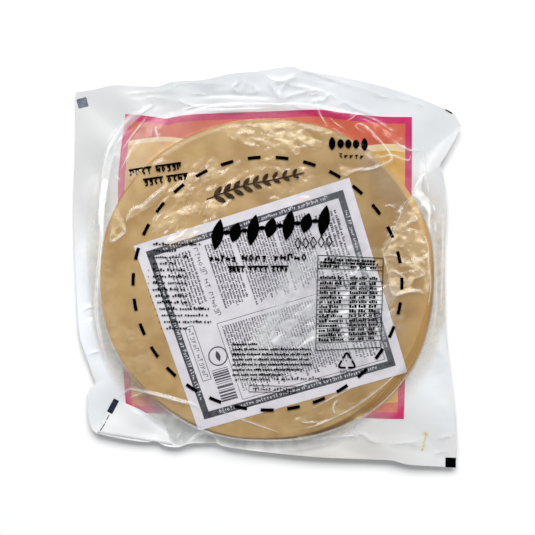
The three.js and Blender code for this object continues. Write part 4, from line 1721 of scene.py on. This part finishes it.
@dataclass
class BagFilm:
    """The clear front film, the white back film and the two folded corners."""

    form: BagForm
    front_cells: int = 306
    back_cells: int = 180
    fold_start: Point = (-92.3, -90.2)
    fold_end: Point = (-51.4, -97.0)
    fold_share: float = 0.212
    fold_edge: Route = (
        (-83.8, -71.6), (-80.6, -72.7), (-75.3, -75.0), (-69.7, -77.4), (-64.7, -80.2), (-61.0, -82.3),
        (-57.9, -83.9), (-55.7, -87.0), (-54.1, -91.1), (-52.9, -94.8), (-51.4, -97.0),
    )
    pinch_rise: float = 0.05
    pinch_width: float = 0.36
    pinch_grain: float = 2.6
    fold_rounding: float = 1.6
    flap_darkening: float = 0.34
    fold_rise: float = 0.9
    tip_lift: float = 0.9
    under_tip: Point = (105.0, 76.8)
    under_inner: Point = (90.5, 77.0)
    under_low: Point = (94.3, 56.6)

    @staticmethod
    def plan(across: Values, up: Values) -> Spot:
        """Spread the unit square over the bag's outline.

        Args:
            across: Shares from the left edge to the right one.
            up: Shares from the bottom edge to the top one.

        Returns:
            The places.
        """
        u, v = across[:, None], up[:, None]
        top, bottom = TOP_EDGE.points(across), BOTTOM_EDGE.points(1.0 - across)
        left, right = LEFT_EDGE.points(up), RIGHT_EDGE.points(1.0 - up)
        a, b, c, d = (np.array(edge.route[0]) for edge in (LEFT_EDGE, BOTTOM_EDGE, RIGHT_EDGE, TOP_EDGE))
        straight = (1 - u) * (1 - v) * a + u * (1 - v) * b + u * v * c + (1 - u) * v * d
        places = (1 - v) * bottom + v * top + (1 - u) * left + u * right - straight
        return Spot(places[:, 0], places[:, 1])

    def build(self) -> None:
        """Make both films and the folded corners."""
        front, across, up = add_grid("front_film", self.front_cells, self.front_cells)
        spot = self.plan(across, up)
        move_points(front, spot.x, spot.y, self.form.front(spot))
        add_attribute(front, Tone.WHITE.value, self.form.whitening(spot))
        add_attribute(front, Tone.WARM.value, self.form.warmth(spot))
        add_attribute(front, Tone.SHADE.value, self.form.shade(spot))
        add_attribute(front, SHINE, self.form.shine(spot))
        dress(front, CLEAR_FILM)
        self._pinches()

        back, across, up = add_grid("back_film", self.back_cells, self.back_cells)
        spot = self.plan(across, up)
        move_points(back, spot.x, spot.y, self.form.back(spot))
        # Painted shade on the back film beside the stack
        add_attribute(back, PAINTED_LIGHT_AND_SHADE, self.form.painted_shade(spot))
        self._turn_over(back)
        dress(back, WHITE_FILM)
        self._fold_over()
        self._fold_under()

    def _pinches(self) -> None:
        """Make the thin folds that stand on the front film's creases, in whitish film that paints a glint
        line along each crease as well as its whitening.
        """
        layer = PrintLayer(self.form.front, self.pinch_rise, 0.8)
        for crease in FRONT_CREASES + MARGIN_CREASES:
            if crease.height > 0.0:
                line = smooth_line(crease.points, 10)
                noise = GradientNoise(61).at(*(line.T / self.pinch_grain + 60.0))
                swell = np.clip(0.75 + 1.1 * noise, 0.15, 1.5)
                ends = np.sin(math.pi * np.linspace(0.0, 1.0, len(line))) ** 0.4
                widths = self.pinch_width * (0.3 + 1.3 * crease.white) * swell * ends
                layer.ribbon(line, np.maximum(widths, 0.03))
        dress(layer.mesh("front_film_pinches"), GLINT_LINE_FILM)

    @staticmethod
    def _turn_over(piece: Piece) -> None:
        """Make a sheet's faces look the other way.

        Args:
            piece: The sheet.
        """
        select(piece)
        bpy.ops.object.mode_set(mode="EDIT")
        bpy.ops.mesh.select_all(action="SELECT")
        bpy.ops.mesh.flip_normals()
        bpy.ops.object.mode_set(mode="OBJECT")

    def _fold_over(self) -> None:
        """Make the bottom left corner, folded over onto the front."""
        flap, across, up = add_grid("folded_corner_over", 60, 48)
        fold = BOTTOM_EDGE.points(1.0 - self.fold_share * across)[:, :2]
        edge = smooth_line(self.fold_edge)
        walked = np.linspace(0.0, 1.0, len(edge))
        free = np.stack([np.interp(across, walked, edge[:, axis]) for axis in (0, 1)], axis=-1)
        spot = Spot(*(fold + (free - fold) * up[:, None]).T)
        move_points(flap, spot.x, spot.y, self.flap_height(spot))
        # Darken the whole flap with the white film's painted-shade colour
        add_attribute(flap, PAINTED_LIGHT_AND_SHADE, np.full_like(up, self.flap_darkening))
        dress(flap, WHITE_FILM)

    def flap_height(self, spot: Spot) -> Values:
        """Give the height of the folded bottom left corner over the plan.

        Args:
            spot: Places on the bag.

        Returns:
            One height for each place.
        """
        length, run, side = direction(self.fold_start, self.fold_end)
        off_x, off_y = spot.x - self.fold_start[0], spot.y - self.fold_start[1]
        along = np.clip((off_x * run[0] + off_y * run[1]) / length, 0.0, 1.0)
        away = np.maximum(off_x * side[0] + off_y * side[1], 0.0)
        nearness = np.clip(1.0 - away / self.fold_rounding, 0.0, 1.0)
        roll = self.fold_rise * np.sqrt(1.0 - nearness**2)
        swell = 0.7 * np.sin(math.pi * along) * smooth(away, 0.0, 9.0)
        ripple = 0.3 * np.sin(8.0 * along + away / 4.0) * smooth(away, 1.0, 8.0)
        return self.form.front(spot) + roll + swell + ripple + self.tip_lift * smooth(away, 4.0, 18.0)

    def _fold_under(self) -> None:
        """Make the top right corner, folded under the back."""
        flap, across, up = add_grid("folded_corner_under", 24, 24)
        tip, inner, low = (np.array(point) for point in (self.under_tip, self.under_inner, self.under_low))
        fold = low + (tip - low) * across[:, None]
        spot = Spot(*(fold + (inner - fold) * up[:, None] * 0.96).T)
        move_points(flap, spot.x, spot.y, np.maximum(self.form.back(spot) - 0.4 - 2.4 * up, 0.3))
        self._turn_over(flap)
        dress(flap, WHITE_FILM)


PANEL_WIDTH = 152.0


@dataclass(frozen=True)
class Edge:
    """The edge of a printed field across the panel: a slanted line with a wave, or a route."""

    left: float = 0.0
    right: float = 0.0
    wave: float = 0.0
    length: float = 60.0
    start: float = 0.0
    route: Route = ()

    def at(self, share: Values) -> Values:
        """Find the edge's place along Y.

        Args:
            share: Shares of the way across.

        Returns:
            One place for each share.
        """
        if self.route:
            x, y = smooth_line(self.route).T
            return np.interp(share, (x - x[0]) / (x[-1] - x[0]), y)
        swing = np.sin(FULL_TURN * share * PANEL_WIDTH / self.length + self.start)
        return self.left + (self.right - self.left) * share + self.wave * swing


@dataclass
class BackPrint:
    """The coloured panel on the back film: a frame round bands of colour."""

    form: BagForm
    inside: float = 0.11
    outside: float = 0.04
    frame_width: float = 3.6
    top_side: Route = (
        (-75.7, 81.4), (-66.3, 80.6), (-55.4, 79.2), (-51.4, 80.0), (-37.9, 81.6), (0.0, 83.1),
        (27.3, 84.0), (40.5, 82.3), (61.4, 80.2), (76.8, 79.8),
    )
    right_side: Route = ((76.8, 81.6), (76.9, 45.0), (75.9, 0.0), (73.6, -55.0), (72.6, -82.5))
    left_side: Route = (
        (-75.7, 83.2), (-78.6, 60.0), (-79.9, 36.0), (-78.6, -30.0), (-75.2, -79.3),
    )
    bottom_side: Route = ((-77.0, -77.5), (-20.0, -79.0), (30.0, -80.2), (74.4, -81.2))

    def build(self) -> None:
        """Print the panel on both faces of the back film."""
        orange_low, cream_low = Edge(70.0, 65.0, 1.8, 60.0, 5.5), Edge(67.6, 61.2, 1.8, 60.0, 5.5)
        field_high, field_low = Edge(71.0, 66.0, 1.8, 60.0, 5.5), Edge(-72.0, -74.5, 1.6, 75.0, -0.2)
        foot_high, foot_low = Edge(-71.0, -73.5, 1.6, 75.0, -0.2), Edge(-77.5, -81.2)
        # Each ink: its piece's name, slot, place in the pile of inks, and bands with their rows of quads
        inks = (
            ("field", YELLOW_INK, Slot.YELLOW, 1.0, ((field_high, field_low, 110),)),
            # The cream line stands for a pale highlight strip between the orange band and the yellow field:
            # painted highlight
            ("line", CREAM_INK, Slot.YELLOW, 1.3, ((orange_low, cream_low, 2),)),
            ("bands", ORANGE_INK, Slot.ORANGE, 1.6,
             ((Edge(route=self.top_side), orange_low, 14), (foot_high, foot_low, 10))),
            ("frame", PINK_INK, Slot.PINK, 2.0, ()),
        )
        for side, offset in (("inside", self.inside), ("outside", -self.outside)):
            for name, finish, slot, depth, bands in inks:
                layer = PrintLayer(self.form.back, offset * depth, 1.2)
                for high, low, rows in bands:
                    self._band(layer, high, low, rows)
                if not bands:
                    for route in (self.top_side, self.right_side, self.bottom_side, self.left_side):
                        layer.curve(route, self.frame_width, 3)
                piece = layer.mesh(f"back_print_{name}_{side}")
                if side == "outside":
                    piece.data.flip_normals()
                dress(piece, finish, replaces_solid=False)

    def _band(self, layer: PrintLayer, high: Edge, low: Edge, rows: int) -> None:
        """Print the field between two edges across the panel.

        Args:
            layer: The ink's layer.
            high: The upper edge.
            low: The lower edge.
            rows: How many quads lie one above the other.
        """
        share = np.linspace(0.0, 1.0, 128)
        left, right = smooth_line(self.left_side), smooth_line(self.right_side)
        lines = []
        for row in np.linspace(0.0, 1.0, rows + 1):
            y = low.at(share) + (high.at(share) - low.at(share)) * row
            start, end = (np.interp(-y, -side[:, 1], side[:, 0]) for side in (left, right))
            lines.append(np.column_stack([start + (end - start) * share, y]))
        layer.sheet(lines)


@dataclass
class FrontPrint:
    """The dark print on the front film."""

    form: BagForm
    offset: float = 0.09
    ring_centre: Point = (0.0, -9.0)
    ring_radii: Point = (72.8, 68.5)
    dash_count: int = 31
    dash_length: float = 7.0
    dash_width: float = 1.75
    slip: float = 3.8
    barred_bold: float = 0.26
    heading_bold: float = 0.24
    list_bold: float = 0.42
    rule_width: float = 0.3
    layer: PrintLayer = field(init=False)

    def build(self) -> None:
        """Print the ring, the ornaments, the rows of signs and the sprig."""
        layers = (
            ("ring", 0.6, DARK_INK, (self._ring,)),
            ("ornaments", 1.2, DARK_INK, (self._garland, self._small_ornament, self._triangle)),
            ("type", 1.2, DARK_INK, (self._headings, self._list, self._address, self._table)),
            ("sprig", 1.2, BROWN_INK, (self._sprig,)),
        )
        for name, step, finish, parts in layers:
            self.layer = PrintLayer(self.form.front, self.offset, step)
            for part in parts:
                part()
            self.layer.print_as(f"front_print_{name}", finish, Slot.DARK)

    def _ring(self) -> None:
        """Print the ring of dashes."""
        half = math.degrees(self.dash_length / 2.0 / self.ring_radii[0])
        for index in range(self.dash_count):
            angle = 360.0 * index / self.dash_count
            angle += self.slip * math.sin(math.radians(angle / 2.0))
            self.layer.arc(self.ring_centre, self.ring_radii, angle - half, angle + half, self.dash_width)

    def _garland(self) -> None:
        """Print a bold row of seeds and lozenges across the middle of the front."""
        slope = math.tan(math.radians(7.5))
        for index in range(7):
            x = -27.0 + 9.6 * index
            y = 17.5 + (x + 27.0) * slope
            tall = 8.5 if index % 2 == 0 else 5.5
            self.layer.blade((x - 1.6, y - tall), (x + 1.6, y + tall), 6.4, 0.9)
            if index < 6:
                self.layer.blade((x + 2.9, y + 0.9), (x + 6.7, y + 1.3), 2.4, 0.5)
        for index in range(5):
            x, y = 16.5 + 4.2 * index, 12.8 + 0.25 * index
            self.layer.frame(((x - 1.7, y), (x, y + 3.0), (x + 1.7, y), (x, y - 3.0)), 0.5)

    def _small_ornament(self) -> None:
        """Print a short bold row near the top right."""
        for index, x in enumerate((35.0, 39.6, 43.8, 48.0, 52.6)):
            tall, y = 3.6 if index in (0, 4) else 2.5, 66.9 - 0.1 * index
            self.layer.blade((x, y - tall), (x, y + tall), 3.6, 0.6)

    def _triangle(self) -> None:
        """Print a plain triangle of three bent bars."""
        for turn in (90.0, 210.0, 330.0):
            places = []
            for offset, reach in ((-48.0, 3.0), (0.0, 4.9), (48.0, 3.0)):
                angle = math.radians(turn + offset)
                places.append((43.0 + reach * math.cos(angle), -51.6 + reach * math.sin(angle)))
            self.layer.curve(places, 1.05)

    def _headings(self) -> None:
        """Print the larger words: their starts and ends, heights and sign counts."""
        barred = (
            ((-75.0, 50.6), (-62.6, 52.4), 3.8, 4),
            ((-60.6, 52.6), (-46.6, 54.6), 3.8, 5),
            ((-67.2, 45.4), (-56.4, 47.0), 3.8, 4),
            ((-54.6, 47.2), (-43.0, 48.8), 3.8, 4),
            ((-21.4, -1.6), (-12.4, -1.5), 3.4, 4),
            ((-10.6, -1.5), (0.4, -1.4), 3.4, 4),
            ((2.0, -1.4), (11.2, -1.3), 3.4, 4),
        )
        plain = (
            ((-31.8, 4.6), (-17.0, 4.8), 4.4, 5),
            ((-14.2, 4.8), (0.0, 5.0), 4.4, 4),
            ((2.8, 5.0), (21.6, 5.2), 4.4, 5),
            ((38.2, 60.4), (52.4, 59.8), 2.8, 5),
            ((39.0, -56.9), (47.0, -56.9), 1.6, 5),
            ((-8.4, -65.9), (1.6, -66.2), 1.9, 7),
            ((3.2, -66.2), (14.0, -66.5), 1.9, 7),
        )
        for seed, word in enumerate(barred, 11):
            self.layer.word(*word, seed, self.barred_bold, bar=True)
        for seed, word in enumerate(plain, 21):
            self.layer.word(*word, seed, self.heading_bold)
        self.layer.frame(((-10.0, -64.1), (15.2, -64.7), (15.2, -68.1), (-10.0, -67.6)), self.rule_width)

    def _list(self) -> None:
        """Print the list on the left, with a dot before each row."""
        ends = (
            -35.0, -48.7, -42.2, -48.7, -44.3, -42.2, -43.2,
            -43.8, -43.2, -43.2, -31.3, -31.3, -29.6, -43.2,
        )
        for row, end in enumerate(ends):
            y = 12.2 - 3.5 * row
            start = -62.0 + 1.15 * max(0, row - 7)
            self.layer.words((start, y), (end, y), 2.2, 230 + row, 0.5, self.list_bold)
            if row > 3:
                self.layer.line((start - 2.7, y), (start - 2.2, y), 0.55)

    def _address(self) -> None:
        """Print the block of rows at the lower middle."""
        for row, end in enumerate((-4.9, 24.5, 24.0, 22.8, 24.5, 19.0, 9.2)):
            y = -42.0 - 2.75 * row
            self.layer.words((-19.0, y), (end, y + 0.1), 1.2, 260 + row, 0.75)
        self.layer.words((-17.8, -61.0), (34.5, -60.6), 1.95, 270, 0.6, 0.26)

    def _table(self) -> None:
        """Print the table on the right: its outline, its rules and its entries."""
        corners = np.array(((27.3, 6.4), (62.7, 4.7), (61.4, -43.5), (26.1, -45.3)))
        self.layer.frame([*corners], 0.4)
        sides = ((corners[0], corners[3]), (corners[1], corners[2]))

        def across(down: float, start: float, end: float, rise: float = 0.0) -> tuple[Values, Values]:
            """Give two places on the table, by their shares of the way down and across."""
            left, right = (high + (low - high) * down for high, low in sides)
            return tuple(left + (right - left) * share + (0.0, rise) for share in (start, end))

        rules = (0.1, 0.14, 0.26, *(0.32 + 0.05 * row for row in range(13)))
        for index, down in enumerate(rules):
            self.layer.line(*across(down, 0.0, 1.0), self.rule_width)
            self.layer.words(*across(down, 0.04, 0.34 + 0.03 * (index % 4), 1.3), 1.7, 400 + index)
            for column in (0.5, 0.64, 0.8):
                self.layer.words(*across(down, column, column + 0.13, 1.3), 1.7, 430 + index)
        for row, down in enumerate((0.04, 0.075)):
            self.layer.words(*across(down, 0.1, 0.9), 1.9 - 0.3 * row, 460 + row)

    def _sprig(self) -> None:
        """Print a leafy sprig that lies along the leaflet's top edge."""
        start, end = (-33.0, 36.5), (20.0, 51.0)
        self.layer.curve([start, (-14.0, 43.8), (3.0, 47.2), end], 0.8)
        length, run, side = direction(start, end)
        for index in range(9):
            share = 0.08 + 0.1 * index
            reach = 7.2 - 0.35 * index
            root = start + run * length * share + side * 1.6 * math.sin(math.pi * share)
            for hand in (-1.0, 1.0):
                tip = root + run * reach * 0.75 + side * hand * reach * 0.62
                self.layer.blade(root, tip, 2.9 - 0.12 * index, 0.75)


@dataclass
class EdgeMarks:
    """The small printed marks at the bag's corners."""

    form: BagForm
    lift: float = 0.09

    def build(self, flap: HeightLaw) -> None:
        """Print the marks.

        Args:
            flap: The height of the folded corner.
        """
        black = PrintLayer(self.form.front, self.lift)
        black.line((96.9, -106.4), (102.6, -106.6), 5.3)
        black.line((96.8, 85.4), (100.4, 83.4), 0.7)
        black.print_as("corner_mark_low_right", DARK_INK, Slot.DARK)

        soft = PrintLayer(self.form.back, self.lift)
        soft.line((-103.6, 88.8), (-98.2, 90.2), 5.2)
        soft.print_as("corner_mark_top_left", SLATE_INK, Slot.GREY)

        folded = PrintLayer(flap, self.lift)
        folded.line((-86.0, -79.4), (-82.2, -72.2), 3.2)
        folded.line((-86.2, -80.5), (-87.6, -83.2), 0.5)
        folded.line((-88.6, -85.4), (-91.1, -89.2), 0.5)
        folded.line((-88.1, -84.2), (-88.3, -84.8), 0.5)
        folded.print_as("corner_mark_low_left", NAVY_INK, Slot.DARK)

        pale = PrintLayer(self.form.front, self.lift)
        pale.words((84.2, -100.2), (86.8, -90.0), 2.3, 480, 0.7, 0.3)
        pale.print_as("side_mark", OLIVE_INK, Slot.YELLOW)


# The studio


class Reach(Enum):
    """What a light is for: the surfaces' own colours, or the highlights on them."""

    COLOURS = "colours"
    GLINTS = "glints"


@dataclass
class Studio:
    """A white table, soft light from above and a camera that looks straight down."""

    view_width: float = 291.04
    distance: float = 1200.0
    aim: Point = (0.0, -0.3)
    aim_height: float = 5.0
    world: float = 0.48
    sensor: float = 36.0
    light_distance: float = 1.3

    def build(self) -> None:
        """Set up the floor, the light and the camera."""
        deselect_all()
        bpy.ops.mesh.primitive_plane_add(size=6.0, location=(0.0, 0.0, 0.0))
        table = bpy.context.object
        table.name = "studio_table"
        table.data.materials.append(FLOOR.material())
        self._light()
        self._camera()
        scene = bpy.context.scene
        scene.view_settings.view_transform = "Standard"
        scene.cycles.caustics_reflective = False
        scene.cycles.caustics_refractive = False
        scene.cycles.transparent_max_bounces = 16

    def _light(self) -> None:
        """Hang a large soft light beyond the top of the bag, and narrow ones for glints."""
        world = bpy.data.worlds.new("studio_world")
        world.use_nodes = True
        sky = world.node_tree.nodes["Background"]
        sky.inputs["Color"].default_value = (0.97, 0.985, 1.0, 1.0)
        sky.inputs["Strength"].default_value = self.world
        world.cycles_visibility.glossy = False
        bpy.context.scene.world = world
        self._softbox("key_light", (2.0, 39.0), (1.4, 0.78), 23.2, Reach.COLOURS)
        self._softbox("glint_high", (-10.0, 33.0), (1.0, 0.7), 20.0, Reach.GLINTS)
        self._softbox("glint_left", (-90.0, 56.0), (0.6, 1.2), 2.4, Reach.GLINTS)
        self._softbox("glint_right", (80.0, 56.0), (0.5, 1.2), 2.0, Reach.GLINTS)

    def _softbox(self, name: str, aim: Point, size: Point, power: float, reach: Reach) -> None:
        """Hang one rectangular light that faces the bag.

        Args:
            name: The light's name.
            aim: Its bearing clockwise from +Y, and its angle from straight up.
            size: Its width and height, in metres.
            power: Its power, in watts.
            reach: What it lights.
        """
        bearing, lean = (math.radians(angle) for angle in aim)
        out = self.light_distance * math.sin(lean)
        place = (out * math.sin(bearing), out * math.cos(bearing), self.light_distance * math.cos(lean))
        deselect_all()
        bpy.ops.object.light_add(type="AREA", location=place, rotation=(-lean, 0.0, -bearing))
        lamp = bpy.context.object
        lamp.name = name
        lamp.rotation_mode = "XYZ"
        lamp.data.shape = "RECTANGLE"
        lamp.data.size, lamp.data.size_y = size
        lamp.data.energy = power
        lamp.visible_camera = False
        lamp.visible_diffuse = reach is Reach.COLOURS
        lamp.visible_glossy = reach is Reach.GLINTS

    def _camera(self) -> None:
        """Look straight down at the bag."""
        data = bpy.data.cameras.new("camera")
        data.sensor_width = self.sensor
        data.lens = self.sensor * (self.distance - self.aim_height) / self.view_width
        data.clip_start, data.clip_end = 0.05, 20.0
        camera = bpy.data.objects.new("camera", data)
        camera.location = (self.aim[0] * MM, self.aim[1] * MM, self.distance * MM)
        bpy.context.scene.collection.objects.link(camera)
        bpy.context.scene.camera = camera


def main() -> None:
    """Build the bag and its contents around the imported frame."""
    logging.basicConfig(level=logging.INFO, format="%(name)s: %(message)s")
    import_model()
    form = BagForm()
    film = BagFilm(form)
    Studio().build()
    PapadumStack().build()
    Leaflet(form).build()
    film.build()
    BackPrint(form).build()
    FrontPrint(form).build()
    EdgeMarks(form).build(film.flap_height)


if __name__ == "__main__":
    main()
